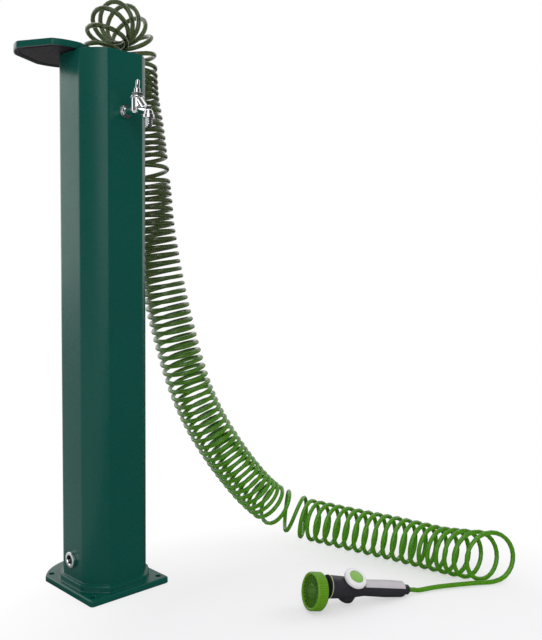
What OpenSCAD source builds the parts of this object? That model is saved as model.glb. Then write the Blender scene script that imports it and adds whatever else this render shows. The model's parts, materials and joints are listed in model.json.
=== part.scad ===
// Garden standpipe: an octagonal column on a foot plate, with a swivelling lid, a quarter-turn
// lever tap, a curly hose that comes out over the open top, and a spray gun on the ground.
// Millimetres, +Z up. The origin is on the ground under the middle of the column, the tap faces -Y.

/* [Column] */
// Height of the column's open top above the ground
post_h = 1000; // [700:10:1200]
// Width of the column, side to side
post_w = 140; // [136:1:150]
// Depth of the column, front to back
post_d = 152; // [148:1:160]
// Length of the front and back flats
front_flat = 72; // [60:1:80]
// Length of the side flats
side_flat = 66; // [56:1:74]
// How far each corner face bows outwards
corner_bow = 4; // [1:0.5:6]
// Wall of the column
post_wall = 3; // [2:0.5:4]

/* [Foot plate] */
// Width of the foot plate
plate_w = 172; // [170:1:200]
// Front edge of the plate, measured from the column's middle
plate_front = 92; // [90:1:110]
// Where the straight sides of the plate end, behind the middle
plate_side_back = 75; // [60:1:80]
// Furthest point of the plate's round back, behind the middle
plate_back = 124; // [115:1:140]
// Thickness of the plate
plate_t = 12; // [8:1:20]
// Radius of the plate's corners
plate_corner = 6; // [2:1:10]
// Distance of the bolt holes from the plate's side edges
bolt_edge_side = 13.5; // [10:0.5:16]
// Distance of the front bolt holes from the plate's front edge
bolt_edge_front = 17; // [12:0.5:20]
// Diameter of the bolt holes
bolt_hole = 10.5; // [8:0.5:12]
// Height of the collar round the column's foot
collar_h = 12; // [6:1:20]
// Wall of that collar
collar_wall = 5.5; // [3:0.5:7]
// Gap between the collar and the column
collar_gap = 0.4; // [0.3:0.1:0.8]

/* [Lid] */
// Height of the lid's rim
lid_h = 12; // [10:1:20]
// Wall of the lid
lid_wall = 3; // [2:0.5:4]
// Thickness of the dark liner under the lid
liner_t = 8; // [4:0.5:8]
// Gap between the lid and the column's top
lid_gap = 0.4; // [0.3:0.1:0.8]
// Pivot's place, side to side
pivot_x = -47; // [-50:1:-44]
// Pivot's place, front to back
pivot_y = 6; // [0:1:10]
// How far the lid is swung open, from closed
lid_open = 118; // [116:1:150]
// Diameter of the pivot pin
pin_d = 10; // [8:0.5:12]
// Height of the bracket that carries the pin
bracket_h = 26; // [20:1:40]

/* [Water inlet] */
// Height of the inlet's axis
inlet_z = 60; // [50:1:90]
// Inlet's place, front to back
inlet_y = 2; // [0:1:6]
// Diameter of the inlet's outer ring
inlet_ring_d = 30; // [28:1:34]
// How far the ring stands out of the column
inlet_out = 6; // [3:0.5:10]
// Diameter of the inlet's female thread
inlet_bore = 16; // [14:0.5:18]
// Diameter of the inlet's outer thread
inlet_thread = 21; // [20:0.5:24]
// Outer diameter of the riser pipe
riser_d = 16; // [14:1:18]
// Bore of the riser pipe
riser_bore = 12; // [8:1:13]

/* [Tap] */
// Height of the tap's tail axis below the column's top
tap_drop = 108; // [80:1:160]
// Distance of the tap's body from the column
tap_reach = 36; // [30:1:44]
// Distance of the tap's outlet from its body
spout_reach = 35; // [30:1:42]
// Fall of the spout from the body to the outlet
spout_fall = 7; // [6:1:14]
// Diameter of the tap's body
tap_body_d = 22; // [21:0.5:26]
// Diameter of the tap's tail thread
tail_d = 20; // [19:0.5:21]
// Diameter of the waterway
waterway = 9; // [7:0.5:10]
// Diameter of the valve ball
ball_d = 15; // [13.5:0.5:15.5]
// Diameter of the valve stem
stem_d = 7; // [6:0.5:8]
// Height of the lever above its hub
lever_h = 18; // [14:1:30]
// Diameter of the outlet's thread
outlet_d = 16; // [15:0.5:17]
// Diameter of the hose spigot
spigot_d = 12; // [11:0.5:12.5]
// Length of the hose spigot
spigot_l = 16; // [12:1:24]

/* [Hose] */
// Outer diameter of the hose
hose_d = 9; // [8:0.1:9.2]
// Radius of a curl, at the middle of the hose
curl_r = 42; // [39:0.5:42]
// Rings that make one curl
curl_rings = 7; // [6:1:7]
// Sides of the hose
hose_sides = 6; // [6:1:8]

/* [Spray gun] */
// Diameter of the turning spray head
head_d = 67; // [60:1:70]
// Depth of the spray head
head_l = 28; // [24:1:32]
// Length of the gun's body, from its tail nut to the spray head
gun_l = 166; // [164:1:170]
// Length of the tail nut
tail_nut_l = 12; // [10:1:16]
// Largest radius of the handle
grip_r = 15; // [13.5:0.5:16]
// Diameter of the flow knob
knob_d = 42; // [40:1:46]
// Diameter of the flow valve's barrel
valve_d = 26; // [22:1:28]
// Distance of the spray head's axis below the barrel's
head_drop = 14; // [12:0.5:14]
// Number of grip notches round the spray head
head_notches = 24; // [16:1:30]

/* [Hidden] */
$fn = 64;

// Clearances: a running fit, a loose slip fit, and the gap between pieces that only pass each other
run = 0.05;
slip = 0.2;
pass = 0.4;

green = [0.02, 0.28, 0.24];
black = [0.13, 0.13, 0.14];
chrome = [0.82, 0.83, 0.85];
brass = [0.72, 0.58, 0.30];
steel = [0.62, 0.63, 0.66];
white = [0.92, 0.92, 0.90];

// Column outline: flats joined by corner faces that bow outwards
corner_steps = 8;
corner_turn = atan2(post_d - side_flat, post_w - front_flat);

function bowed(p, q, bow) = let (
        d = q - p, len = norm(d), out = [d.y, -d.x] / len,
        r = (len * len / 4 + bow * bow) / (2 * bow),
        mid = (p + q) / 2 + out * (bow - r),
        half = asin(len / 2 / r), aim = atan2(out.y, out.x))
    [for (i = [0:corner_steps]) mid + r * [cos(aim + half * (2 * i / corner_steps - 1)),
                                           sin(aim + half * (2 * i / corner_steps - 1))]];

function column_points(grow) = let (
        hw = post_w / 2 + grow, hd = post_d / 2 + grow,
        fx = front_flat / 2 + grow * tan(corner_turn / 2),
        sy = side_flat / 2 + grow * tan(45 - corner_turn / 2))
    concat(bowed([fx, -hd], [hw, -sy], corner_bow), bowed([hw, sy], [fx, hd], corner_bow),
           bowed([-fx, hd], [-hw, sy], corner_bow), bowed([-hw, -sy], [-fx, -hd], corner_bow));

module column_area(grow = 0) {
    polygon(column_points(grow));
}

// A round bar along an axis, from one place to another on that axis
module bar_x(d, x0, x1, y, z) {
    translate([x0, y, z]) rotate([0, 90, 0]) cylinder(d = d, h = x1 - x0);
}
module bar_y(d, y0, y1, x, z) {
    translate([x, y1, z]) rotate([90, 0, 0]) cylinder(d = d, h = y1 - y0);
}
module bar_z(d, z0, z1, x, y) {
    translate([x, y, z0]) cylinder(d = d, h = z1 - z0);
}

// Foot plate, with its collar
plate_arc_half = plate_w / 2;
plate_arc_rise = plate_back - plate_side_back;
plate_arc_r = (plate_arc_half * plate_arc_half + plate_arc_rise * plate_arc_rise) / (2 * plate_arc_rise);
plate_arc_turn = asin(plate_arc_half / plate_arc_r);
plate_arc_steps = 24;
bolt_span_x = plate_w - 2 * bolt_edge_side;
bolt_span_y = 2 * (plate_front - bolt_edge_front);
inner_w = post_w / 2 - post_wall;
inner_d = post_d / 2 - post_wall;

function plate_points() = let (half = plate_w / 2, c = plate_corner) concat(
    [for (a = [0:15:90]) [-half + c * (1 - cos(a)), -plate_front + c * (1 - sin(a))]],
    [for (a = [90:-15:0]) [half - c * (1 - cos(a)), -plate_front + c * (1 - sin(a))]],
    [for (i = [0:plate_arc_steps]) let (a = plate_arc_turn * (1 - 2 * i / plate_arc_steps))
        [plate_arc_r * sin(a), plate_back - plate_arc_r + plate_arc_r * cos(a)]]);

module foot_plate() {
    color(green) difference() {
        union() {
            linear_extrude(plate_t) polygon(plate_points());
            translate([0, 0, plate_t]) linear_extrude(collar_h) difference() {
                column_area(collar_gap + collar_wall);
                column_area(collar_gap);
            }
        }
        for (x = [-1, 1], y = [-1, 1])
            bar_z(bolt_hole, -1, plate_t + collar_h + 1, x * bolt_span_x / 2, y * bolt_span_y / 2);
        for (side = [-1, 1]) bar_z(cleat_screw_d, plate_t - cleat_bite, plate_t + 1, 0, side * cleat_screw_y);
    }
}

// Angle cleats that hold the column to the plate, front and back
cleat_w = 40;
cleat_leg = 26;
cleat_t = 3;
cleat_screw_d = 5;
cleat_head_d = 9;
cleat_head_h = 3;
cleat_bite = 8;
cleat_screw_y = inner_d - cleat_leg / 2 - cleat_t / 2;
cleat_screw_z = plate_t + cleat_leg / 2 + cleat_t;

module foot_cleats() {
    color(steel) for (side = [-1, 1]) mirror([0, side < 0 ? 1 : 0, 0]) difference() {
        union() {
            translate([-cleat_w / 2, inner_d - cleat_leg, plate_t]) cube([cleat_w, cleat_leg, cleat_t]);
            translate([-cleat_w / 2, inner_d - cleat_t, plate_t]) cube([cleat_w, cleat_t, cleat_leg]);
        }
        bar_z(cleat_screw_d + slip, plate_t - 1, plate_t + cleat_t + 1, 0, cleat_screw_y);
        bar_y(cleat_screw_d + slip, inner_d - cleat_t - 1, inner_d + 1, 0, cleat_screw_z);
    }
}

wall_bite = post_wall - 1;

module foot_screws() {
    color(steel) for (side = [-1, 1]) mirror([0, side < 0 ? 1 : 0, 0]) {
        bar_z(cleat_screw_d, plate_t - cleat_bite, plate_t + cleat_t, 0, cleat_screw_y);
        bar_z(cleat_head_d, plate_t + cleat_t, plate_t + cleat_t + cleat_head_h, 0, cleat_screw_y);
        bar_y(cleat_screw_d, inner_d - cleat_t, inner_d + wall_bite, 0, cleat_screw_z);
        bar_y(cleat_head_d, inner_d - cleat_t - cleat_head_h, inner_d - cleat_t, 0, cleat_screw_z);
    }
}

// Column: four flat panels and four bowed corner profiles, which meet at the creases
tap_z = post_h - tap_drop;

outer_points = column_points(0);
inner_points = column_points(-post_wall);
corner_count = 4;
corner_pitch = corner_steps + 1;

// A stretch of the wall between two points of the outline, at full height
module column_wall(from, to) {
    last = len(outer_points);
    translate([0, 0, plate_t]) linear_extrude(post_h - plate_t)
        polygon(concat([for (i = [from:to]) outer_points[i % last]],
                       [for (i = [to:-1:from]) inner_points[i % last]]));
}

module column_corners() {
    color(green) for (k = [0:corner_count - 1])
        column_wall(k * corner_pitch, k * corner_pitch + corner_steps);
}

module column_panels() {
    color(green) difference() {
        for (k = [1:corner_count]) column_wall(k * corner_pitch - 1, k * corner_pitch);
        bar_x(inlet_thread + 2 * slip, -post_w / 2 - 1, -inner_w + 1, inlet_y, inlet_z);
        bar_y(tail_d + 2 * slip, -post_d / 2 - 1, -inner_d + 1, 0, tap_z);
        for (side = [-1, 1]) mirror([0, side < 0 ? 1 : 0, 0])
            bar_y(cleat_screw_d, inner_d - 1, inner_d + wall_bite, 0, cleat_screw_z);
        bracket_bars(bracket_screw_d, -inner_w - wall_bite, -inner_w + 1);
    }
}

// Lid, swung open about its pin
lid_z = post_h + lid_gap;
boss_d = pin_d + 8;
pin_top = lid_z + lid_h - lid_wall - 1;
washer_t = 2;
bracket_top = lid_z - washer_t - 0.1;
bracket_z = bracket_top - bracket_h;
clip_t = 2;
clip_z = bracket_z - 0.1 - clip_t;
pin_z = clip_z - 2;
bracket_w = pin_d + 18;
bracket_screw_d = 4;
bracket_screw_y = pin_d / 2 + bracket_screw_d / 2 + 2;
bracket_screw_z = bracket_z + bracket_h / 2;
bracket_end = pivot_x + bracket_w / 2;
bracket_head_d = 7;
bracket_head_h = 3;

module swung() {
    translate([pivot_x, pivot_y, 0]) rotate(lid_open) translate([-pivot_x, -pivot_y, 0]) children();
}

module lid_shell() {
    color(green) difference() {
        swung() translate([0, 0, lid_z]) difference() {
            linear_extrude(lid_h) column_area();
            translate([0, 0, -1]) linear_extrude(lid_h - lid_wall + 1) difference() {
                column_area(-lid_wall);
                translate([pivot_x, pivot_y]) circle(d = boss_d);
            }
        }
        bar_z(pin_d, lid_z - 1, pin_top, pivot_x, pivot_y);
    }
}

module lid_liner() {
    color(black) difference() {
        swung() translate([0, 0, lid_z + lid_h - lid_wall - liner_t]) linear_extrude(liner_t)
            column_area(-lid_wall - slip);
        bar_z(boss_d + 2 * slip, lid_z - 1, lid_z + lid_h, pivot_x, pivot_y);
    }
}

module lid_pin() {
    color(steel) bar_z(pin_d, pin_z, pin_top, pivot_x, pivot_y);
}

module lid_washer() {
    color(white) difference() {
        bar_z(boss_d, lid_z - washer_t, lid_z, pivot_x, pivot_y);
        bar_z(pin_d + 2 * run, lid_z - washer_t - 1, lid_z + 1, pivot_x, pivot_y);
    }
}

module lid_clip() {
    color(steel) difference() {
        bar_z(pin_d + 7, clip_z, clip_z + clip_t, pivot_x, pivot_y);
        bar_z(pin_d + 2 * run, clip_z - 1, clip_z + clip_t + 1, pivot_x, pivot_y);
    }
}

// The bracket's two screws, or the holes for them
module bracket_bars(d, x0, x1) {
    for (side = [-1, 1]) bar_x(d, x0, x1, pivot_y + side * bracket_screw_y, bracket_screw_z);
}

module lid_bracket() {
    color(steel) difference() {
        translate([-inner_w, pivot_y - bracket_w / 2, bracket_z])
            cube([bracket_end + inner_w, bracket_w, bracket_h]);
        bar_z(pin_d + 2 * run, bracket_z - 1, bracket_top + 1, pivot_x, pivot_y);
        bracket_bars(bracket_screw_d + slip, -inner_w - 1, bracket_end + 1);
    }
}

module bracket_screws() {
    color(steel) {
        bracket_bars(bracket_screw_d, -inner_w - wall_bite, bracket_end);
        bracket_bars(bracket_head_d, bracket_end, bracket_end + bracket_head_h);
    }
}

// Water inlet and riser
inlet_nut_t = 6;
inlet_nut_d = inlet_thread + 11;
inlet_end = -inner_w + inlet_nut_t + 12;
inlet_bore_l = 24;
inlet_face = -post_w / 2 - inlet_out;
elbow_d = riser_d + 5;
socket_l = 10;
elbow_top = inlet_z + elbow_d / 2 + socket_l + 4;
riser_x = 0;
riser_y = inlet_y;

module inlet_fitting() {
    color(chrome) difference() {
        union() {
            bar_x(inlet_ring_d, inlet_face, -post_w / 2, inlet_y, inlet_z);
            bar_x(inlet_thread, -post_w / 2, inlet_end, inlet_y, inlet_z);
        }
        bar_x(inlet_bore, inlet_face - 1, inlet_face + inlet_bore_l, inlet_y, inlet_z);
        bar_x(riser_bore, -post_w / 2, inlet_end + 1, inlet_y, inlet_z);
    }
}

module inlet_back_nut() {
    color(brass) difference() {
        translate([-inner_w, inlet_y, inlet_z]) rotate([0, 90, 0])
            cylinder(d = inlet_nut_d, h = inlet_nut_t, $fn = 6);
        bar_x(inlet_thread + 2 * run, -inner_w - 1, -inner_w + inlet_nut_t + 1, inlet_y, inlet_z);
    }
}

module inlet_elbow() {
    color(brass) difference() {
        union() {
            bar_x(elbow_d, inlet_end, riser_x, inlet_y, inlet_z);
            translate([riser_x, riser_y, inlet_z]) sphere(d = elbow_d);
            bar_z(elbow_d, inlet_z, elbow_top, riser_x, riser_y);
        }
        bar_x(riser_bore, inlet_end - 1, riser_x, inlet_y, inlet_z);
        bar_z(riser_bore, inlet_z, elbow_top + 1, riser_x, riser_y);
        bar_z(riser_d + 2 * run, elbow_top - socket_l, elbow_top + 1, riser_x, riser_y);
    }
}

// Manifold that feeds the tap in front and the hose above
manifold_h = 28;
manifold_z = tap_z - manifold_h / 2;
manifold_top = manifold_z + manifold_h;
manifold_w = tail_d + 8;
manifold_front = -inner_d + 25;
manifold_back = riser_y + riser_d / 2 + 6;
hose_x = 8;
hose_y = -12;

module riser_pipe() {
    color(brass) difference() {
        bar_z(riser_d, elbow_top - socket_l, manifold_z + socket_l, riser_x, riser_y);
        bar_z(riser_bore, elbow_top - socket_l - 1, manifold_z + socket_l + 1, riser_x, riser_y);
    }
}

module manifold() {
    color(brass) difference() {
        translate([-manifold_w / 2, manifold_front, manifold_z])
            cube([manifold_w, manifold_back - manifold_front, manifold_h]);
        bar_z(riser_d + 2 * run, manifold_z - 1, manifold_z + socket_l, riser_x, riser_y);
        bar_z(waterway, manifold_z, tap_z, riser_x, riser_y);
        bar_y(waterway, manifold_front - 1, riser_y, 0, tap_z);
        bar_y(tail_d + 2 * run, manifold_front - 1, manifold_front + socket_l, 0, tap_z);
        bar_z(hose_bore, tap_z, manifold_top + 1, hose_x, hose_y);
    }
}

hose_bore = 5;
hose_nut_h = 20;
hose_hex_d = hose_d + 11;
hose_hex_h = 12;
hose_start = manifold_top + hose_nut_h;

module hose_nut() {
    color(brass) difference() {
        union() {
            translate([hose_x, hose_y, manifold_top]) cylinder(d = hose_hex_d, h = hose_hex_h, $fn = 6);
            bar_z(hose_d + 5, manifold_top, hose_start, hose_x, hose_y);
        }
        bar_z(hose_bore, manifold_top - 1, hose_start + 1, hose_x, hose_y);
    }
}

// Tap: tail through the column, body with a ball valve, spout and outlet
rosette_d = tail_d + 5;
rosette_t = 5;
face_y = -post_d / 2;
body_y = face_y - tap_reach;
outlet_y = body_y - spout_reach;
ball_z = tap_z;
cavity_d = ball_d + 1.6;
body_z = tap_z - cavity_d / 2 - 2;
body_rise = 22;
body_top = tap_z + body_rise;
flange_t = 3;
flange_d = tap_body_d + 4;
neck_d = waterway + 6;
spout_z = tap_z - spout_fall;
outlet_l = 9;
outlet_z = spout_z - outlet_l;
tail_end = manifold_front + socket_l;
tail_nut_t = 6;
tail_nut_d = tail_d + 11;

module tap_rosette() {
    color(chrome) difference() {
        union() {
            bar_y(rosette_d, face_y - rosette_t + 2, face_y, 0, tap_z);
            translate([0, face_y - rosette_t + 2, tap_z]) rotate([90, 0, 0])
                cylinder(d1 = rosette_d, d2 = rosette_d - 4, h = 2);
        }
        bar_y(tail_d + 2 * run, face_y - rosette_t - 1, face_y + 1, 0, tap_z);
    }
}

module tap_back_nut() {
    color(brass) difference() {
        translate([0, -inner_d + tail_nut_t, tap_z]) rotate([90, 0, 0])
            cylinder(d = tail_nut_d, h = tail_nut_t, $fn = 6);
        bar_y(tail_d + 2 * run, -inner_d - 1, -inner_d + tail_nut_t + 1, 0, tap_z);
    }
}

spout_run = sqrt(spout_reach * spout_reach + spout_fall * spout_fall);
spout_tilt = atan2(spout_fall, spout_reach);

// Slanted back of the spout, from high on the body down to the outlet
back_rise = body_rise - 9;
back_d = neck_d - 3;
back_run = norm([spout_reach, spout_fall + back_rise]);
back_tilt = atan2(spout_fall + back_rise, spout_reach);

module along_spout() {
    translate([0, body_y, tap_z]) rotate([90 + spout_tilt, 0, 0]) children();
}

module tap_body() {
    color(chrome) difference() {
        union() {
            bar_y(tail_d, face_y - rosette_t, tail_end, 0, tap_z);
            bar_y(neck_d, body_y, face_y - rosette_t, 0, tap_z);
            bar_z(tap_body_d, body_z, body_top, 0, body_y);
            bar_z(flange_d, body_top - flange_t, body_top, 0, body_y);
            along_spout() cylinder(d = neck_d, h = spout_run);
            translate([0, body_y, tap_z + back_rise]) rotate([90 + back_tilt, 0, 0])
                cylinder(d = back_d, h = back_run);
            translate([0, outlet_y, spout_z]) sphere(d = neck_d + 2);
            bar_z(outlet_d, outlet_z, spout_z, 0, outlet_y);
        }
        bar_z(cavity_d, body_z + 2, body_top + 1, 0, body_y);
        bar_y(waterway, body_y, tail_end + 1, 0, tap_z);
        along_spout() cylinder(d = waterway - 1, h = spout_run);
        bar_z(waterway, outlet_z - 1, spout_z, 0, outlet_y);
    }
}

slot_w = 3;
slot_h = 3.5;
ball_flat = ball_d / 2 - 0.5;

module tap_ball() {
    color(chrome) difference() {
        translate([0, body_y, ball_z]) sphere(d = ball_d);
        bar_x(waterway - 1, -ball_d, ball_d, body_y, ball_z);
        translate([-ball_d / 2, body_y - ball_d, ball_z + ball_flat]) cube([ball_d, 2 * ball_d, ball_d]);
        translate([-slot_w / 2 - run, body_y - ball_d, ball_z + ball_flat - slot_h])
            cube([slot_w + 2 * run, 2 * ball_d, ball_d]);
    }
}

seat_d = cavity_d - 4;

module tap_seats() {
    color(white) for (side = [-1, 1]) intersection() {
        difference() {
            bar_y(seat_d, body_y - cavity_d / 2, body_y + cavity_d / 2, 0, ball_z);
            bar_y(waterway, body_y - cavity_d, body_y + cavity_d, 0, ball_z);
            translate([0, body_y, ball_z]) sphere(d = ball_d + 2 * run);
        }
        bar_z(cavity_d - 2 * run, ball_z - ball_d, ball_z + ball_d, 0, body_y);
        translate([-ball_d, body_y + (side < 0 ? -ball_d : 0), ball_z - ball_d])
            cube([2 * ball_d, ball_d, 2 * ball_d]);
    }
}

stem_z = ball_z + ball_flat;
tongue_l = stem_d - 1;
gland_plug = 10;
gland_h = 6;
gland_top = body_top + gland_h;
hub_z = gland_top + pass;
hub_h = 8;
hub_d = stem_d + 6;
stem_top = hub_z + hub_h - 2;

module tap_stem() {
    color(chrome) {
        bar_z(stem_d, stem_z, stem_top, 0, body_y);
        translate([-slot_w / 2, body_y - tongue_l / 2, stem_z - slot_h + run])
            cube([slot_w, tongue_l, slot_h]);
    }
}

module tap_gland_nut() {
    color(chrome) difference() {
        union() {
            bar_z(cavity_d - 2 * run, body_top - gland_plug, body_top, 0, body_y);
            translate([0, body_y, body_top]) cylinder(d = tap_body_d, h = gland_h, $fn = 6);
        }
        bar_z(stem_d + 2 * run, body_top - gland_plug - 1, gland_top + 1, 0, body_y);
    }
}

lever_lean = 10;
lever_root_d = 7;
lever_tip_d = 5;
lever_end_d = 5.6;
screw_d = 3;
screw_z = hub_z + hub_h / 2 - 1;

module tap_lever() {
    color(chrome) difference() {
        union() {
            bar_z(hub_d, hub_z, hub_z + hub_h, 0, body_y);
            translate([0, body_y, hub_z + hub_h - 1]) rotate([lever_lean, 0, 0]) {
                cylinder(d1 = lever_root_d, d2 = lever_tip_d, h = lever_h);
                translate([0, 0, lever_h]) sphere(d = lever_end_d);
            }
        }
        bar_z(stem_d, hub_z - 1, stem_top, 0, body_y);
        bar_y(screw_d, body_y + stem_d / 2 - 1, body_y + hub_d, 0, screw_z);
    }
}

module lever_screw() {
    color(steel) bar_y(screw_d - slip, body_y + stem_d / 2 + run, body_y + hub_d / 2, 0, screw_z);
}

// Outlet: washer, spigot and union nut
seal_t = 1.5;
spigot_flange_t = 2;
nut_lip = 2;
spigot_z = outlet_z - seal_t - spigot_flange_t;
nut_wall = 2;
nut_grip = 2.5;
spigot_ribs = 4;

module outlet_washer() {
    color(black) difference() {
        bar_z(outlet_d - 2 * run, outlet_z - seal_t, outlet_z, 0, outlet_y);
        bar_z(waterway, outlet_z - seal_t - 1, outlet_z + 1, 0, outlet_y);
    }
}

module outlet_nut() {
    color(chrome) difference() {
        bar_z(outlet_d + 2 * nut_wall, spigot_z - nut_lip, outlet_z + nut_grip, 0, outlet_y);
        bar_z(outlet_d + 2 * run, spigot_z, outlet_z + outlet_l, 0, outlet_y);
        bar_z(spigot_d + 2 * slip, spigot_z - nut_lip - 1, spigot_z + 1, 0, outlet_y);
    }
}

module hose_spigot() {
    rib = (spigot_l - nut_lip) / (spigot_ribs + 1);
    color(chrome) difference() {
        union() {
            bar_z(outlet_d - 2 * run, spigot_z, spigot_z + spigot_flange_t, 0, outlet_y);
            bar_z(spigot_d, spigot_z - spigot_l, spigot_z, 0, outlet_y);
            for (i = [1:spigot_ribs]) translate([0, outlet_y, spigot_z - nut_lip - i * rib - 1])
                cylinder(d1 = spigot_d, d2 = spigot_d + 2, h = rib * 0.6);
        }
        bar_z(waterway - 1, spigot_z - spigot_l - 1, spigot_z + spigot_flange_t + 1, 0, outlet_y);
    }
}

// Spray gun: x runs forwards from the tail nut, z points the way the flow knob faces
gun_at = [378, -447];
gun_turn = 160;
gun_pitch = 11;
gun_roll = -32;
gun_clear = 0.2;
head_x = tail_nut_l + gun_l;
gun_tail_z = (head_d / 2 + head_drop * cos(gun_roll)) * cos(gun_pitch) - head_x * sin(gun_pitch) + gun_clear;
gun_axis = [cos(gun_turn) * cos(gun_pitch), sin(gun_turn) * cos(gun_pitch), sin(gun_pitch)];
gun_tail = [gun_at.x, gun_at.y, gun_tail_z];
valve_x = head_x - 48;
housing_d = valve_d + 10;
housing_low = -24;
housing_top = 21;
housing_floor = 4;
barrel_r = 20;
neck_r = 8.5;

module gun_place() {
    translate(gun_tail) rotate([0, -gun_pitch, gun_turn]) rotate([gun_roll, 0, 0]) children();
}

// The spray head turns about an axis of its own, below the barrel's
module head_place() {
    gun_place() translate([0, 0, -head_drop]) children();
}

module turned(points) {
    rotate([90, 0, 90]) rotate_extrude() polygon(points);
}

// Outline of the gun's body from tail to barrel, as radius and distance along it
function gun_profile(grow) = [[neck_r + grow, tail_nut_l], [grip_r - 2 + grow, tail_nut_l + 2],
    [grip_r - 1 + grow, tail_nut_l + 8], [grip_r + grow, tail_nut_l + 42], [grip_r - 1 + grow, valve_x - 30],
    [grip_r + 1 + grow, valve_x], [grip_r + 2 + grow, valve_x + 22], [barrel_r + grow, head_x - 12],
    [barrel_r + grow, head_x - ring_t]];

ring_t = 2.5;
spindle_d = 9;
spindle_in = 16;
spindle_out = head_l - 8;

module gun_body() {
    color(black) gun_place() difference() {
        union() {
            turned(concat([[0, tail_nut_l]], gun_profile(0), [[0, head_x - ring_t]]));
            translate([valve_x, 0, housing_low]) cylinder(d = housing_d, h = housing_top - housing_low);
        }
        translate([valve_x, 0, housing_low + housing_floor])
            cylinder(d = valve_d + 2 * run, h = housing_top - housing_low);
        bar_x(spindle_d, head_x - spindle_in, head_x, 0, -head_drop);
    }
}

insert_x = tail_nut_l + 4;
insert_l = valve_x - knob_d / 2 - 4 - insert_x;
insert_w = 18;
insert_t = 2;

module grip_insert() {
    color([0.80, 0.79, 0.81]) gun_place() intersection() {
        difference() {
            turned(concat([[0, tail_nut_l]], gun_profile(insert_t), [[0, head_x - ring_t]]));
            turned(concat([[0, tail_nut_l - 1]], gun_profile(slip), [[0, head_x]]));
        }
        translate([insert_x, -insert_w / 2, 0]) cube([insert_l, insert_w, grip_r + 10]);
    }
}

tail_nut_r = hose_d / 2 + 4.5;

module gun_tail_nut() {
    color(black) gun_place() difference() {
        turned([[0, 0], [tail_nut_r - 2.5, 0], [tail_nut_r, 3], [tail_nut_r, tail_nut_l], [0, tail_nut_l]]);
        bar_x(hose_bore, -1, tail_nut_l + 1, 0, 0);
    }
}

knob_z = housing_top + pass;
knob_h = 9;
button_d = knob_d * 0.62;
button_t = 3;
button_in = knob_h - button_t + 1;
dome_h = 1.5;
dome_steps = 4;

module valve_barrel() {
    low = housing_low + housing_floor + pass;
    color(black) gun_place() translate([valve_x, 0, low]) cylinder(d = valve_d, h = knob_z - low);
}

module flow_knob() {
    color([0.78, 0.78, 0.80]) gun_place() translate([valve_x, 0, knob_z]) difference() {
        union() {
            cylinder(d = knob_d, h = knob_h - 3);
            translate([0, 0, knob_h - 3]) cylinder(d1 = knob_d, d2 = knob_d - 6, h = 3);
        }
        translate([0, 0, button_in]) cylinder(d = button_d + 2 * slip, h = button_t);
    }
}

module knob_button() {
    r = button_d / 2;
    color([0.45, 0.66, 0.30]) gun_place() translate([valve_x, 0, knob_z + button_in]) rotate_extrude()
        polygon(concat([[0, 0], [r, 0]], [for (i = [0:dome_steps]) let (away = 1 - i / dome_steps)
            [r * away, button_t - dome_h * away * away]]));
}

module head_ring() {
    color([0.72, 0.80, 0.55]) gun_place() difference() {
        bar_x(2 * barrel_r + 2, head_x - ring_t, head_x - pass, 0, 0);
        bar_x(spindle_d + 2 * slip, head_x - ring_t - 1, head_x + 1, 0, -head_drop);
    }
}

module head_spindle() {
    color(steel) head_place() bar_x(spindle_d, head_x - spindle_in, head_x + spindle_out, 0, 0);
}

head_r = head_d / 2;
notch_d = 4;
face_d = head_d - 12;
face_t = 3;
face_in = 4;
nozzle_d = 2;

module spray_head() {
    color([0.35, 0.57, 0.12]) head_place() difference() {
        turned([[0, head_x], [barrel_r + 2, head_x], [head_r - 1.5, head_x + 7], [head_r, head_x + 8.5],
                [head_r, head_x + head_l - 2], [head_r - 2, head_x + head_l], [0, head_x + head_l]]);
        bar_x(spindle_d + 2 * run, head_x - 1, head_x + spindle_out + 1, 0, 0);
        bar_x(face_d + 2 * slip, head_x + head_l - face_in - face_t, head_x + head_l + 1, 0, 0);
        for (i = [0:head_notches - 1]) rotate([i * 360 / head_notches, 0, 0])
            bar_x(notch_d, head_x + 9, head_x + head_l - 3, 0, head_r + notch_d / 4);
    }
}

module spray_face() {
    color([0.22, 0.42, 0.08]) head_place() difference() {
        bar_x(face_d, head_x + head_l - face_in - face_t, head_x + head_l - face_in, 0, 0);
        for (ring = [1:3], i = [0:4 * ring - 1]) rotate([i * 90 / ring, 0, 0])
            bar_x(nozzle_d, head_x + head_l - face_in - face_t + 1, head_x + head_l, 0, ring * face_d / 8);
    }
}

// Curly hose. It rises out of its nut along hand-set points, winds as one coil over the column's
// edge and along the ground, and runs on to the gun along hand-set points again.
coil_in = [10, 4];
coil_out = [119, 62];
bend_at = (coil_in + coil_out) / 2;
bend_r = norm(coil_out - coil_in) / 2;
bend_heading = atan2(coil_out.y - coil_in.y, coil_out.x - coil_in.x);
bend_z = post_h + 23;
bend_curls = 1.2;
bend_size = 0.9;
coil_start = post_h - 15;
over_lid = post_h + 19;
ground = hose_d / 2 + 0.6;

hose_rise = [[hose_x, hose_y, hose_start], [hose_x, hose_y, hose_start + 14],
    [hose_x - 3, hose_y + 3, post_h - 45], [hose_x - 11, hose_y + 13, post_h - 32],
    [hose_x - 12, hose_y + 29, post_h - 24], [hose_x - 2, hose_y + 43, post_h - 20],
    [hose_x + 14, hose_y + 48, post_h - 18]];

// A stop is a place of the coil's middle line, the way its curls face in plan, the curls since the last
// stop, and the size of a curl there
function stop(x, y, z, heading, curls, size = 1) = [x, y, z, heading, curls, size];
function lying(x, y, heading, curls, size = 1) = stop(x, y, ground + curl_r * size, heading, curls, size);

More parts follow.
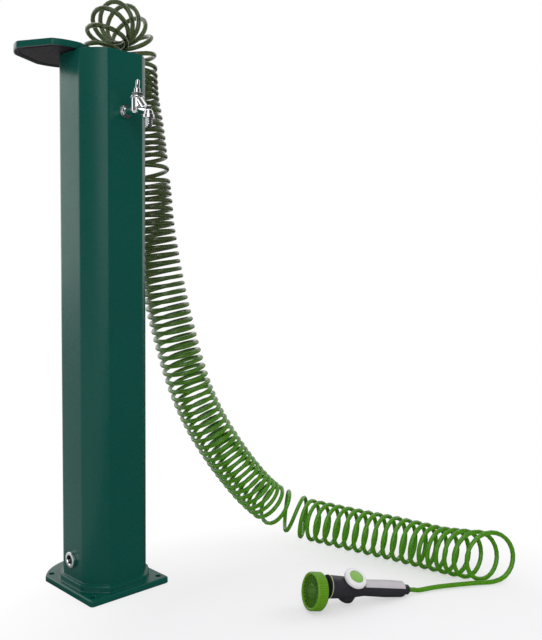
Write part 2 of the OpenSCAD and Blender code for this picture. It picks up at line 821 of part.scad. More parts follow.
coil_bend = [
    stop(coil_in.x, coil_in.y, coil_start, bend_heading, 0, bend_size),
    stop(coil_in.x, coil_in.y, over_lid, bend_heading, 0.4, bend_size),
    for (a = [180:-30:0]) stop(bend_at.x + bend_r * cos(a) * cos(bend_heading),
        bend_at.y + bend_r * cos(a) * sin(bend_heading), bend_z + bend_r * sin(a), bend_heading,
        a == 180 ? 0.3 : bend_curls, bend_size)];

coil_hang = [
    stop(coil_out.x, coil_out.y, post_h - 44, 10, 5.2),
    stop(125, 59, post_h - 84, 0, 3),
    stop(131, 56, post_h - 128, -10, 3.3),
    stop(136, 54, post_h - 174, -19, 3.5),
    stop(140, 53, post_h - 208, -19, 1.1),
    stop(145, 52, post_h - 250, -19, 3.1),
    stop(150, 50, post_h - 305, -19, 3.5),
    stop(160, 46, post_h - 370, -19, 4.1),
    stop(173, 41, post_h - 440, -19, 4.5),
    stop(189, 35, post_h - 510, -19, 4.5),
    stop(209, 29, 415, -19, 4.4),
    stop(232, 21, 344, -19, 4.1),
    stop(260, 11, 281, -19, 4.4),
    stop(294, -1, 222, -19, 4.2),
    stop(332, -13, 167, -19, 4.3),
    stop(373, -28, 115, -20, 4.2),
    stop(416, -44, 75, -22, 3.6)];

coil_lie = [
    stop(446, -68, 58, -45, 1),
    stop(460, -104, ground + curl_r + 1, -66, 1.2),
    lying(469, -150, -78, 2),
    lying(479, -205, -78, 2.3),
    lying(490, -260, -78, 2.4),
    lying(502, -315, -79, 2.5),
    lying(511, -370, -84, 2.5),
    lying(519, -425, -92, 2.6),
    lying(531, -479, -104, 2.6, 1.06),
    lying(549, -528, -116, 2, 1.12)];

hose_run = concat([[510, -511, ground + 0.9], [470, -488, ground + 1.2], [434, -469, ground + 1.2]],
    [for (away = [26, 12, 0]) gun_tail - away * gun_axis]);

stops = concat(coil_bend, coil_hang, coil_lie);
wound = [for (i = 0, sum = 0; i < len(stops);
    i = i + 1, sum = sum + (i < len(stops) ? stops[i][4] : 0)) sum];
first_phase = 270;
rings_between = 2;

// A smooth value between stops, from the two on either side
function eased(a, b, c, d, t) = b + (c - a) * t / 2 + (a - 2.5 * b + 2 * c - d / 2) * t * t
    + (1.5 * (b - c) + (d - a) / 2) * t * t * t;

// A value that only ever grows, from the step before, this step and the next
function shared(p, q) = p > 0 && q > 0 ? 2 * p * q / (p + q) : max(p, q);
function steady(before, step, next, start, t) = let (m = shared(before, step), n = shared(step, next))
    start + m * t + (3 * step - 2 * m - n) * t * t + (m + n - 2 * step) * t * t * t;

function inside(i) = min(max(i, 0), len(stops) - 1);
function along(i, t) = let (k = [for (j = [-1:2]) inside(i + j)], w = [for (j = k) wound[j]])
    [for (j = [0:3]) eased(stops[k[0]][j], stops[k[1]][j], stops[k[2]][j], stops[k[3]][j], t),
     steady(w[1] - w[0], w[2] - w[1], w[3] - w[2], w[1], t),
     eased(stops[k[0]][5], stops[k[1]][5], stops[k[2]][5], stops[k[3]][5], t)];

coil_middle = [
    for (i = [0:len(stops) - 2]) let (n = round(curl_rings * stops[i + 1][4]))
        for (k = [0:n - 1]) along(i, k / n),
    along(len(stops) - 2, 1)];

function place(p) = [p[0], p[1], p[2]];
function unit(v) = v / norm(v);
function line_ahead(line, i) = unit(place(line[min(i + 1, len(line) - 1)]) - place(line[max(i - 1, 0)]));

function curled(i) = let (
        p = coil_middle[i], ahead = line_ahead(coil_middle, i), level = [-sin(p[3]), cos(p[3]), 0],
        up = unit(cross(ahead, level)), turn = first_phase - 360 * p[4])
    place(p) + curl_r * p[5] * (cos(turn) * level + sin(turn) * up);

coil_line = [for (i = [0:len(coil_middle) - 1]) curled(i)];

// Points along a hand-set stretch, between the points just before and after it
function smoothed(points, before, after) = let (all = concat([before], points, [after]))
    [for (i = [1:len(points) - 1], k = [0:rings_between - 1])
        eased(all[i - 1], all[i], all[i + 1], all[i + 2], k / rings_between)];

coil_end = len(coil_line) - 1;
hose_line = concat(
    smoothed(concat(hose_rise, [coil_line[0]]), hose_rise[0], coil_line[1]),
    [for (i = [0:coil_end - 1]) coil_line[i]],
    smoothed(concat([coil_line[coil_end]], hose_run), coil_line[coil_end - 1], gun_tail),
    [gun_tail]);

function tube_ahead(i) = i == 0 ? [0, 0, 1] : i == len(hose_line) - 1 ? gun_axis
    : unit(hose_line[i + 1] - hose_line[i - 1]);
function turned_along(v, ahead) = unit(v - (v * ahead) * ahead);
tube_sides = [for (i = 0, v = [1, 0, 0]; i < len(hose_line); i = i + 1,
    v = i < len(hose_line) ? turned_along(v, tube_ahead(i)) : v) v];

tube_points = [for (i = [0:len(hose_line) - 1]) let (s = tube_sides[i], u = cross(tube_ahead(i), s))
    for (k = [0:hose_sides - 1]) let (a = k * 360 / hose_sides)
        hose_line[i] + hose_d / 2 * (cos(a) * s + sin(a) * u)];

function ring_point(i, k) = i * hose_sides + k % hose_sides;
tube_faces = concat(
    [for (k = [1:hose_sides - 2]) [0, k, k + 1]],
    [for (i = [0:len(hose_line) - 2], k = [0:hose_sides - 1], half = [0, 1]) half == 0
        ? [ring_point(i, k), ring_point(i + 1, k), ring_point(i + 1, k + 1)]
        : [ring_point(i, k), ring_point(i + 1, k + 1), ring_point(i, k + 1)]],
    [for (k = [1:hose_sides - 2]) let (e = (len(hose_line) - 1) * hose_sides) [e, e + k + 1, e + k]]);

// Least gap of the hose to itself, over points at least most of a curl apart
function own_gap() = min([for (i = [0:len(hose_line) - 1], j = [i + curl_rings - 2:1:len(hose_line) - 1])
    norm(hose_line[i] - hose_line[j])]) - hose_d;

module spiral_hose() {
    echo(curls = wound[len(wound) - 1], rings = len(hose_line), triangles = len(tube_faces),
         least_gap = own_gap(), lowest = min([for (p = tube_points) p.z]));
    color([0.20, 0.55, 0.08]) polyhedron(tube_points, tube_faces);
}

foot_plate();
foot_cleats();
foot_screws();
column_panels();
column_corners();
lid_shell();
lid_liner();
lid_pin();
lid_bracket();
lid_washer();
lid_clip();
bracket_screws();
inlet_fitting();
inlet_back_nut();
inlet_elbow();
riser_pipe();
manifold();
tap_rosette();
tap_back_nut();
tap_body();
tap_ball();
tap_seats();
tap_stem();
tap_gland_nut();
tap_lever();
lever_screw();
outlet_nut();
outlet_washer();
hose_spigot();
hose_nut();
spiral_hose();
gun_tail_nut();
gun_body();
grip_insert();
valve_barrel();
flow_knob();
knob_button();
spray_head();
spray_face();
head_ring();
head_spindle();
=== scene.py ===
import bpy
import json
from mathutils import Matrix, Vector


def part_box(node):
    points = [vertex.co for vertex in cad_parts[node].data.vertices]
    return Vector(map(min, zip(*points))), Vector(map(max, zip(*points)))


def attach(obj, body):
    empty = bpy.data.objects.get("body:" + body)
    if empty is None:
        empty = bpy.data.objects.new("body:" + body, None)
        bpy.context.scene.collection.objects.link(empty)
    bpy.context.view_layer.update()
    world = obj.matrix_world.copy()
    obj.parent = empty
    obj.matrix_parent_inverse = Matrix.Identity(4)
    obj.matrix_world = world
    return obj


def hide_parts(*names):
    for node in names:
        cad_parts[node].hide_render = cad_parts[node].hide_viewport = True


bl_info = {
    "name": "Garden standpipe",
    "version": (1, 0, 0),
    "blender": (4, 5, 0),
    "location": "View3D > Sidebar > Standpipe",
    "description": "Dresses a garden water column with its lid, lever tap, curly hose and spray gun",
    "category": "Object",
}

import json
import math
from collections import namedtuple

import bmesh
import bpy
from bpy.props import FloatProperty, FloatVectorProperty, IntProperty, PointerProperty
from mathutils import Matrix, Vector

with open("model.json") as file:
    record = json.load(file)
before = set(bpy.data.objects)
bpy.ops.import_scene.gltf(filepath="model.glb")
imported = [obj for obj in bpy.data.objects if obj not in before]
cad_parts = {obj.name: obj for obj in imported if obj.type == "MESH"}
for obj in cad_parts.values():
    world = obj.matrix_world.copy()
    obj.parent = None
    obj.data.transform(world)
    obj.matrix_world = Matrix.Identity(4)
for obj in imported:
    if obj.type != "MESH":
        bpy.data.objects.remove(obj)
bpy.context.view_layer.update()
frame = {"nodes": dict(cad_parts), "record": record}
NODES = frame["nodes"]
MM = 0.001
HAIR = 1e-5
SMOOTH_ANGLE, CREASE_ANGLE = 32, 24
# Share of an edge that a rounded corner may take, and the least bend that is rounded
CORNER_SHARE, LEAST_BEND = 0.45, math.radians(12)
MATERIALS = {}


def length(name, words, value):
    """A size in metres that a user may change."""
    return FloatProperty(name=name, description=words, default=value, unit="LENGTH", precision=5)


def tint(name, words, value):
    """A colour that a user may change, as linear red, green and blue."""
    return FloatVectorProperty(name=name, description=words, default=value, subtype="COLOR", size=3, min=0, max=1)


def power(name, words, value):
    """A lamp's power in watts that a user may change."""
    return FloatProperty(name=name, description=words, default=value, min=0, unit="POWER")


class ColumnLook(bpy.types.PropertyGroup):
    """Sizes and colour of the column, its lid and its foot plate"""

    front_flat: length("Front flat", "Length of the front and back flats", 0.072)
    side_flat: length("Side flat", "Length of the side flats", 0.066)
    corner_bow: length("Corner bow", "How far each corner face bows outwards", 0.004)
    wall: length("Wall", "Wall of the column and the lid", 0.003)
    crease: length("Crease", "Radius where a corner face meets a flat", 0.0035)
    coat: tint("Coat", "Colour of the powder coat", (0.001, 0.066, 0.05))
    liner: tint("Liner", "Colour of the lid's underside", (0.022, 0.018, 0.021))


class HoseLook(bpy.types.PropertyGroup):
    """Sizes and colours of the curly hose"""

    diameter: length("Diameter", "Outer diameter of the hose", 0.009)
    curl_radius: length("Curl radius", "Radius of a curl at the middle of the hose", 0.042)
    curl_points: IntProperty(name="Points a curl", description="Points of the hose's line in one curl", default=24,
                             min=16, max=40)
    low_colour: tint("Low colour", "Colour of the hose near the ground", (0.16, 0.5, 0.025))
    # The darker colour at the top is painted shade, not a different colour of the hose
    shaded_top_colour: tint("High colour", "Colour of the hose at the column's top", (0.08, 0.112, 0.045))


class TapLook(bpy.types.PropertyGroup):
    """Finish of the tap and the inlet"""

    chrome: tint("Chrome", "Colour of the chrome", (0.93, 0.94, 0.95))
    brass: tint("Brass", "Colour of the inner fittings", (0.48, 0.30, 0.075))


class GunLook(bpy.types.PropertyGroup):
    """Colours of the spray gun"""

    body: tint("Body", "Colour of the gun's body", (0.026, 0.026, 0.032))
    grip: tint("Grip", "Colour of the grip insert", (0.5, 0.475, 0.5))
    head: tint("Head", "Colour of the spray head", (0.105, 0.28, 0.006))
    face: tint("Face", "Colour of the recessed spray face", (0.05, 0.15, 0.008))
    button: tint("Button", "Colour of the knob's button", (0.20, 0.42, 0.08))


class StageLook(bpy.types.PropertyGroup):
    """Floor and light"""

    floor: tint("Floor", "Colour of the floor", (0.87, 0.85, 0.88))
    key_power: power("Key light", "Power of the main lamp", 60)
    fill_power: power("Fill light", "Power of the second lamp", 28)
    side_power: power("Side light", "Power of the lamp at the back left", 6)


# Modelling helpers

def put_down():
    """Leaves edit mode and lets go of everything."""
    if bpy.context.object and bpy.context.object.mode != "OBJECT":
        bpy.ops.object.mode_set(mode="OBJECT")
    bpy.ops.object.select_all(action="DESELECT")


def pick(piece, others=()):
    """Selects a piece and makes it the active one."""
    put_down()
    for each in (piece, *others):
        each.select_set(True)
    bpy.context.view_layer.objects.active = piece


def smoothed(piece, angle=SMOOTH_ANGLE):
    """Smooths a piece, apart from edges sharper than an angle in degrees."""
    pick(piece)
    bpy.ops.object.shade_smooth_by_angle(angle=math.radians(angle))
    return piece


def loft(name, rings, capped=False, angle=SMOOTH_ANGLE):
    """A circle that is extruded ring by ring. A last ring equal to the first closes the shape on itself."""
    put_down()
    bpy.ops.mesh.primitive_circle_add(vertices=len(rings[0]), radius=1)
    piece = bpy.context.object
    piece.name = piece.data.name = name
    bpy.ops.object.mode_set(mode="EDIT")
    bpy.ops.mesh.select_all(action="SELECT")
    shape = bmesh.from_edit_mesh(piece.data)
    spot, row = shape.verts.layers.int.new("spot"), shape.verts.layers.int.new("row")
    for i, v in enumerate(shape.verts):
        v[spot], v[row], v.co = i, 0, rings[0][i]
    bmesh.update_edit_mesh(piece.data)
    for k, ring in enumerate(rings[1:], 1):
        bpy.ops.mesh.extrude_region_move()
        shape = bmesh.from_edit_mesh(piece.data)
        spot, row = shape.verts.layers.int["spot"], shape.verts.layers.int["row"]
        for v in shape.verts:
            if v.select:
                v[row], v.co = k, ring[v[spot]]
        bmesh.update_edit_mesh(piece.data)
    for k in (0, len(rings) - 1) if capped else ():
        shape = bmesh.from_edit_mesh(piece.data)
        row = shape.verts.layers.int["row"]
        bpy.ops.mesh.select_all(action="DESELECT")
        for e in shape.edges:
            if all(v[row] == k for v in e.verts):
                e.select_set(True)
        bmesh.update_edit_mesh(piece.data)
        bpy.ops.mesh.edge_face_add()
    bpy.ops.mesh.select_all(action="SELECT")
    bpy.ops.mesh.remove_doubles(threshold=HAIR)
    bpy.ops.mesh.normals_make_consistent(inside=False)
    bpy.ops.object.mode_set(mode="OBJECT")
    for layer in ("spot", "row"):
        piece.data.attributes.remove(piece.data.attributes[layer])
    return smoothed(piece, angle)


def softened(points, size, steps=3, closed=False):
    """A line of flat points with its corners rounded."""
    count, out = len(points), []
    for i, p in enumerate(points):
        if not closed and i in (0, count - 1):
            out.append(tuple(p))
            continue
        here, a, b = Vector(p), Vector(points[i - 1]), Vector(points[(i + 1) % count])
        cut_a = min(size, CORNER_SHARE * (a - here).length)
        cut_b = min(size, CORNER_SHARE * (b - here).length)
        bend = (here - a).angle(b - here, 0) if cut_a and cut_b else 0
        if bend < LEAST_BEND:
            out.append(tuple(p))
            continue
        start, end = here + (a - here).normalized() * cut_a, here + (b - here).normalized() * cut_b
        for k in range(steps + 1):
            t = k / steps
            out.append(tuple(start * (1 - t) ** 2 + here * 2 * t * (1 - t) + end * t * t))
    return out


def turned(name, profile, place, sides=48, soft=0.0, ring=None, angle=SMOOTH_ANGLE):
    """A turned piece from pairs of radius and height in millimetres. ring may shape each circle."""
    points = softened(profile, soft) if soft else profile
    rings = []
    for radius, height in points:
        circle = []
        for i in range(sides):
            a = math.tau * i / sides
            r = radius * (ring(a, height) if ring else 1)
            circle.append(place @ Vector((r * math.cos(a) * MM, r * math.sin(a) * MM, height * MM)))
        rings.append(circle)
    return loft(name, rings, angle=angle)


def along(origin, axis, across=(0, 0, 1)):
    """A placing matrix whose Z runs along axis, from origin in millimetres."""
    z = Vector(axis).normalized()
    x = Vector(across) - z * Vector(across).dot(z)
    if x.length < HAIR:
        x = Vector((1, 0, 0)) - z * z.x
    x.normalize()
    y = z.cross(x)
    turn = Matrix((x, y, z)).transposed().to_4x4()
    return Matrix.Translation(Vector(origin) * MM) @ turn


def joined(name, pieces):
    """One piece made of several."""
    pick(pieces[0], pieces[1:])
    bpy.ops.object.join()
    piece = bpy.context.object
    piece.name = piece.data.name = name
    return piece


def with_modifier(piece, kind, **values):
    """Adds a modifier, sets it and applies it."""
    pick(piece)
    bpy.ops.object.modifier_add(type=kind)
    modifier = piece.modifiers[-1]
    for key, value in values.items():
        setattr(modifier, key, value)
    bpy.ops.object.modifier_apply(modifier=modifier.name)


def cut(piece, cutters):
    """Cuts other pieces out of a piece and deletes them."""
    for cutter in cutters:
        with_modifier(piece, "BOOLEAN", operation="DIFFERENCE", solver="EXACT", object=cutter)
        pick(cutter)
        bpy.ops.object.delete()


def cast(piece, grain_size, passes):
    """Melts overlapping shells into one casting with soft hollows where they meet."""
    with_modifier(piece, "REMESH", mode="VOXEL", voxel_size=grain_size * MM)
    with_modifier(piece, "SMOOTH", factor=0.5, iterations=passes)
    return smoothed(piece, 60)


def seat(piece, body, slot, *nodes, material=None):
    """Lets a finished piece move with its body, stand for its nodes and take its slot's finish or another one."""
    piece.data.materials.clear()
    piece.data.materials.append(material or MATERIALS[slot])
    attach(piece, body)
    if nodes:
        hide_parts(*nodes)


# Finishes

# Sockets of a mix node that blends colours
MIX_A, MIX_B, MIX_RESULT = 6, 7, 2
GRAIN_DETAIL = 2
# Painted shade in the inlet's bore: its near-black colour and the width of its soft edge, in millimetres
BORE_SHADE_COLOUR, BORE_SHADE_EDGE = (0.01, 0.01, 0.012, 1), 0.6
# Heights in metres between which painted shade darkens the hose towards the column's top
HOSE_SHADE_HEIGHTS = (0.03, 0.65)


def node(owner, kind, inputs=None, **values):
    """A new node of a material or world, with its inputs and settings."""
    made = owner.node_tree.nodes.new(kind)
    for key, value in values.items():
        setattr(made, key, value)
    for key, value in (inputs or {}).items():
        made.inputs[key].default_value = value
    return made


def link(owner, start, end):
    """Joins two sockets of a material's or world's nodes."""
    owner.node_tree.links.new(start, end)


def own_place(material):
    """A point's place in the piece's own coordinates."""
    return node(material, "ShaderNodeTexCoord").outputs["Object"]


def shader_of(material):
    return material.node_tree.nodes["Principled BSDF"]


def finish(name, colour, roughness, metallic=0.0, **sockets):
    """A material with one surface shader."""
    material = bpy.data.materials.new(name)
    material.use_nodes = True
    sockets.update(Base_Color=(*colour, 1), Roughness=roughness, Metallic=metallic)
    for key, value in sockets.items():
        shader_of(material).inputs[key.replace("_", " ")].default_value = value
    return material


def cloud(material, scale, detail=3):
    """Noise on the piece's own coordinates."""
    noise = node(material, "ShaderNodeTexNoise", {"Scale": scale, "Detail": detail})
    link(material, own_place(material), noise.inputs["Vector"])
    return noise.outputs["Fac"]


def spread(owner, value, low, high, start=0.3, end=0.7):
    """Maps a pattern onto a range of numbers."""
    mapper = node(owner, "ShaderNodeMapRange", {"From Min": start, "From Max": end, "To Min": low, "To Max": high})
    link(owner, value, mapper.inputs["Value"])
    return mapper.outputs["Result"]


def mottled(material, pattern, colour, other):
    """Blends two colours by a pattern."""
    blend = node(material, "ShaderNodeMix", {MIX_A: (*colour, 1), MIX_B: (*other, 1)}, data_type="RGBA")
    link(material, pattern, blend.inputs["Factor"])
    link(material, blend.outputs[MIX_RESULT], shader_of(material).inputs["Base Color"])


def worn(material, scale, low, high):
    """Lets the roughness wander."""
    link(material, spread(material, cloud(material, scale), low, high), shader_of(material).inputs["Roughness"])
    return material


def weathered(material, colour, patches, shades, wear, roughness):
    """Lets the colour wander between two shades of it, and the roughness too, each at its own scale."""
    first, second = (tuple(c * share for c in colour) for share in shades)
    mottled(material, cloud(material, patches), first, second)
    return worn(material, wear, *roughness)


def grained(material, scale, depth, strength):
    """Raises noise as fine relief, depth in millimetres."""
    bump = node(material, "ShaderNodeBump", {"Distance": depth * MM, "Strength": strength})
    link(material, cloud(material, scale, GRAIN_DETAIL), bump.inputs["Height"])
    link(material, bump.outputs["Normal"], shader_of(material).inputs["Normal"])
    return material


def powder_coat(colour):
    coat = finish("green_coat", colour, 0.3, Specular_IOR_Level=0.3)
    weathered(coat, colour, 5, (0.92, 1.08), 30, (0.24, 0.32))
    return grained(coat, 900, 0.012, 0.5)


def chromed(colour, name="bright_chrome"):
    return weathered(finish(name, colour, 0.08, 1.0), colour, 60, (1, 0.94), 140, (0.03, 0.07))


def plain_metal(name, colour, low, high):
    metal = weathered(finish(name, colour, low, 1.0), colour, 90, (1, 0.85), 220, (low, high))
    return grained(metal, 1200, 0.01, 0.5)


def moulded(name, colour, low, high, grain_scale=1500, depth=0.02, **sockets):
    plastic = weathered(finish(name, colour, low, **sockets), colour, 40, (0.94, 1.06), 120, (low, high))
    return grained(plastic, grain_scale, depth, 0.6)


def painted_bore_shade(material, middle, radius):
    """Paints shade into a metal: near black within a radius in millimetres of an axis that runs along X, where the
    bore lies in shade.
    """
    base, flat = shader_of(material).inputs["Base Color"], node(material, "ShaderNodeMapping", {"Scale": (0, 1, 1)})
    away = node(material, "ShaderNodeVectorMath", {1: (0, middle.y, middle.z)}, operation="DISTANCE")
    blend = node(material, "ShaderNodeMix", {MIX_A: BORE_SHADE_COLOUR}, data_type="RGBA")
    link(material, own_place(material), flat.inputs["Vector"])
    link(material, flat.outputs["Vector"], away.inputs[0])
    share = spread(material, away.outputs["Value"], 0, 1, (radius - BORE_SHADE_EDGE) * MM, radius * MM)
    link(material, share, blend.inputs["Factor"])
    link(material, base.links[0].from_socket, blend.inputs[MIX_B])
    link(material, blend.outputs[MIX_RESULT], base)
    return material


def clear_green(low, high):
    """The hose's green, with painted shade that darkens it towards the column's top."""
    green = finish("green_hose", low, 0.1, IOR=1.15, Transmission_Weight=0.6, Coat_Weight=0.7, Coat_Roughness=0.08)
    parts = node(green, "ShaderNodeSeparateXYZ")
    link(green, own_place(green), parts.inputs["Vector"])
    # Blends from the hose's own green to the painted shade colour by height
    mottled(green, spread(green, parts.outputs["Z"], 0, 1, *HOSE_SHADE_HEIGHTS), low, high)
    return worn(green, 90, 0.08, 0.12)


def make_finishes(scene):
    """Makes the finish of each material slot, and a second green for the knob's button."""
    column, hose, tap, gun = scene.standpipe_column, scene.standpipe_hose, scene.standpipe_tap, scene.standpipe_gun
    MATERIALS.update(
        green_coat=powder_coat(column.coat),
        black_liner=moulded("black_liner", column.liner, 0.5, 0.62, 900, Specular_IOR_Level=0.08),
        chrome=chromed(tap.chrome),
        brass=plain_metal("turned_brass", tap.brass, 0.24, 0.36),
        zinc_steel=plain_metal("zinc_plate", (0.36, 0.37, 0.39), 0.3, 0.42),
        white_plastic=moulded("white_nylon", (0.8, 0.8, 0.76), 0.4, 0.5),
        black_rubber=moulded("seal_rubber", (0.012, 0.012, 0.012), 0.6, 0.7),
        green_hose=clear_green(hose.low_colour, hose.shaded_top_colour),
        gun_black=moulded("gun_anthracite", gun.body, 0.36, 0.46, 1800, 0.015),
        gun_grey=moulded("gun_grip", gun.grip, 0.5, 0.6, 1400, 0.03),
        gun_green=moulded("gun_lime", gun.head, 0.26, 0.34, 900, 0.01),
        gun_dark_green=moulded("gun_face", gun.face, 0.4, 0.5),
        gun_silver=moulded("gun_silver", (0.74, 0.73, 0.75), 0.25, 0.35),
        gun_pale=moulded("gun_pale", (0.5, 0.64, 0.3), 0.3, 0.4),
        button=moulded("gun_button", gun.button, 0.3, 0.4),
    )


# Curly hose

# Heights and places in millimetres: the coil starts in the column, rises over the lid and bends over the edge
HOSE_EXIT = (8, -12, 926)
COIL_IN, COIL_OUT, COIL_START, OVER_LID = (10, 4), (119, 62), 985, 1019
BEND_HEIGHT, BEND_CURLS, BEND_SIZE, BEND_STEP = 1023, 1.2, 0.9, 30
# Curls up to the lid's top and on to the bend, and where on its circle the first curl starts
LID_CURLS, EDGE_CURLS, FIRST_TURN = 0.4, 0.3, 0.75
GROUND, CURL_RADIUS = 5.1, 42
GUN_TAIL, GUN_AXIS = (378, -447, 10.775048), (-0.92242782, 0.33573627, 0.190809)
# Distances from the gun's tail at which the hose is already in line with it
IN_LINE = (26, 12, 0)
STRETCH_STEPS = 6

# A place of the coil's middle line, the way its curls face, the curls since the last stop and their size
Stop = namedtuple("Stop", "x y z heading curls size", defaults=(1,))


def lying(x, y, heading, curls, size=1):
    """A stop where the curls lie on the ground."""
    return Stop(x, y, GROUND + CURL_RADIUS * size, heading, curls, size)


HOSE_RISE = [HOSE_EXIT, (8, -12, 940), (5, -9, 955), (-3, 1, 968), (-4, 17, 976), (6, 31, 980), (21, 35.5, 982),
             (34, 31.5, 983.4)]
HOSE_HANG = [Stop(*row) for row in (
    (*COIL_OUT, 956, 10, 5.2), (125, 59, 916, 0, 3), (131, 56, 872, -10, 3.3), (136, 54, 826, -19, 3.5),
    (140, 53, 792, -19, 1.1), (145, 52, 750, -19, 3.1), (150, 50, 695, -19, 3.5), (160, 46, 630, -19, 4.1),
    (173, 41, 560, -19, 4.5), (189, 35, 490, -19, 4.5), (209, 29, 415, -19, 4.4), (232, 21, 344, -19, 4.1),
    (260, 11, 281, -19, 4.4), (294, -1, 222, -19, 4.2), (332, -13, 167, -19, 4.3), (373, -28, 115, -20, 4.2),
    (416, -44, 75, -22, 3.6))]
HOSE_LIE = [
    Stop(446, -68, 58, -45, 1), Stop(460, -104, GROUND + CURL_RADIUS + 1, -66, 1.2), lying(469, -150, -78, 2),
    lying(479, -205, -78, 2.3), lying(490, -260, -78, 2.4), lying(502, -315, -79, 2.5), lying(511, -370, -84, 2.5),
    lying(519, -425, -92, 2.6), lying(531, -479, -104, 2.6, 1.06), lying(549, -528, -116, 2, 1.12)]
HOSE_RUN = [(510, -511, GROUND + 0.9), (470, -488, GROUND + 1.2), (434, -469, GROUND + 1.2)]


def eased(a, b, c, d, t):
    """A smooth curve from b to c that heads for them from a and on to d."""
    return b + (c - a) * t / 2 + (a - 2.5 * b + 2 * c - d / 2) * t ** 2 + (1.5 * (b - c) + (d - a) / 2) * t ** 3


def shared(p, q):
    """The slope between two steps of a count that only grows."""
    return 2 * p * q / (p + q) if p > 0 and q > 0 else max(p, q)


def steady(before, step, after, start, t):
    """A count within one step, smooth across its neighbours and never turning back."""
    m, n = shared(before, step), shared(step, after)
    return start + m * t + (3 * step - 2 * m - n) * t ** 2 + (m + n - 2 * step) * t ** 3


def through(points, before, after):
    """Points along a given stretch, between the points just before and after it."""
    line = [Vector(p) for p in (before, *points, after)]
    return [eased(*line[i - 1:i + 3], k / STRETCH_STEPS) for i in range(1, len(points)) for k in range(STRETCH_STEPS)]


def hose_bend():
    """The coil's stops inside the column, over the lid and round the bend above the column's edge."""
    start, end = Vector(COIL_IN), Vector(COIL_OUT)
    middle, radius = (start + end) / 2, (end - start).length / 2
    heading = math.atan2(end.y - start.y, end.x - start.x)
    faced = math.degrees(heading)
    stops = [Stop(*COIL_IN, COIL_START, faced, 0, BEND_SIZE), Stop(*COIL_IN, OVER_LID, faced, LID_CURLS, BEND_SIZE)]
    for angle in range(180, -1, -BEND_STEP):
        away, rise = radius * math.cos(math.radians(angle)), radius * math.sin(math.radians(angle))
        stops.append(Stop(middle.x + away * math.cos(heading), middle.y + away * math.sin(heading), BEND_HEIGHT + rise,
                          faced, EDGE_CURLS if angle == 180 else BEND_CURLS, BEND_SIZE))
    return stops


def coil_middle(stops, curl_points):
    """The coil's middle line: places, the way the curls face there, their size and the curls so far."""
    wound = [sum(s.curls for s in stops[:i + 1]) for i in range(len(stops))]
    middle = []
    for i in range(len(stops) - 1):
        near = [min(max(i + j, 0), len(stops) - 1) for j in (-1, 0, 1, 2)]
        count = round(curl_points * stops[i + 1].curls)
        for n in range(count + (i == len(stops) - 2)):
            t = n / count
            x, y, z, faced, size = (eased(*(getattr(stops[j], key) for j in near), t)
                                    for key in ("x", "y", "z", "heading", "size"))
            w = [wound[j] for j in near]
            middle.append((Vector((x, y, z)), faced, size, steady(w[1] - w[0], w[2] - w[1], w[3] - w[2], w[1], t)))
    return middle


def hose_line(curl_radius, curl_points):
    """The hose's middle line in millimetres, from the column's manifold to the gun."""
    middle = coil_middle(hose_bend() + HOSE_HANG + HOSE_LIE, curl_points)
    coil, eighth, quarter = [], curl_points // 8, curl_points // 4
    for i, (place, faced, size, curls) in enumerate(middle):
        ahead = middle[min(i + quarter, len(middle) - 1)][0] - middle[max(i - quarter, 0)][0]
        level = Vector((-math.sin(math.radians(faced)), math.cos(math.radians(faced)), 0))
        up, phase = ahead.cross(level).normalized(), math.tau * (FIRST_TURN - curls)
        coil.append(place + curl_radius * size * (math.cos(phase) * level + math.sin(phase) * up))
    tail, axis = Vector(GUN_TAIL), Vector(GUN_AXIS)
    run = [coil[-1], *HOSE_RUN, *(tail - away * axis for away in IN_LINE)]
    return [*through([*HOSE_RISE, coil[0]], HOSE_RISE[0], coil[1]), *coil[:-1],
            *through(run, coil[-1 - eighth], tail), tail]


class STANDPIPE_OT_hose(bpy.types.Operator):
    """Winds the curly hose from the column's manifold over the open top to the spray gun"""

    bl_idname = "standpipe.hose"
    bl_label = "Curly hose"

    def execute(self, context):
        look = context.scene.standpipe_hose
        put_down()
        points = hose_line(look.curl_radius / MM, look.curl_points)
        line = bpy.data.curves.new("hose_curls", "CURVE")
        line.dimensions = "3D"
        line.bevel_depth, line.bevel_resolution = look.diameter / 2, 2
        line.use_fill_caps = True
        spline = line.splines.new("POLY")
        spline.points.add(len(points) - 1)
        for spot, point in zip(spline.points, points):
            spot.co = (*(point * MM), 1)
        spline.use_smooth = True
        piece = bpy.data.objects.new("hose_curls", line)
        context.scene.collection.objects.link(piece)
        seat(piece, "standpipe", "green_hose", "spiral_hose")
        return {"FINISHED"}


# Column, lid and foot plate

POST_HEIGHT, POST_LIP, FOOT_TOP, COLLAR_TOP = 1000, 1.2, 12, 24
BOW_STEPS, CREASE_STEPS, COLLAR_CREASE = 14, 4, 16
PIVOT, LID_BASE, LID_HEIGHT, LID_TURN, LINER_DEPTH = (-47, 6), 1000.4, 12, 118, 8
# The foot plate: where its sides end at the back, its front corners' radius, its middle and half its depth
SIDE_BACK, PLATE_CORNER, PLATE_MIDDLE, PLATE_HALF, BACK_STEPS = 75, 6, 15, 108, 20
CORNER_TURNS = [math.radians(15 * i) for i in range(7)]


def bowed(p, q, bow):
    """A corner face's outline, bowed outwards."""
    p, q = Vector(p), Vector(q)
    d = q - p
    out = Vector((d.y, -d.x)).normalized()
    r = (d.length_squared / 4 + bow * bow) / (2 * bow)
    middle, half, aim = (p + q) / 2 + out * (bow - r), math.asin(d.length / 2 / r), math.atan2(out.y, out.x)
    turns = [aim + half * (2 * i / BOW_STEPS - 1) for i in range(BOW_STEPS + 1)]
    return [(middle.x + r * math.cos(a), middle.y + r * math.sin(a)) for a in turns]


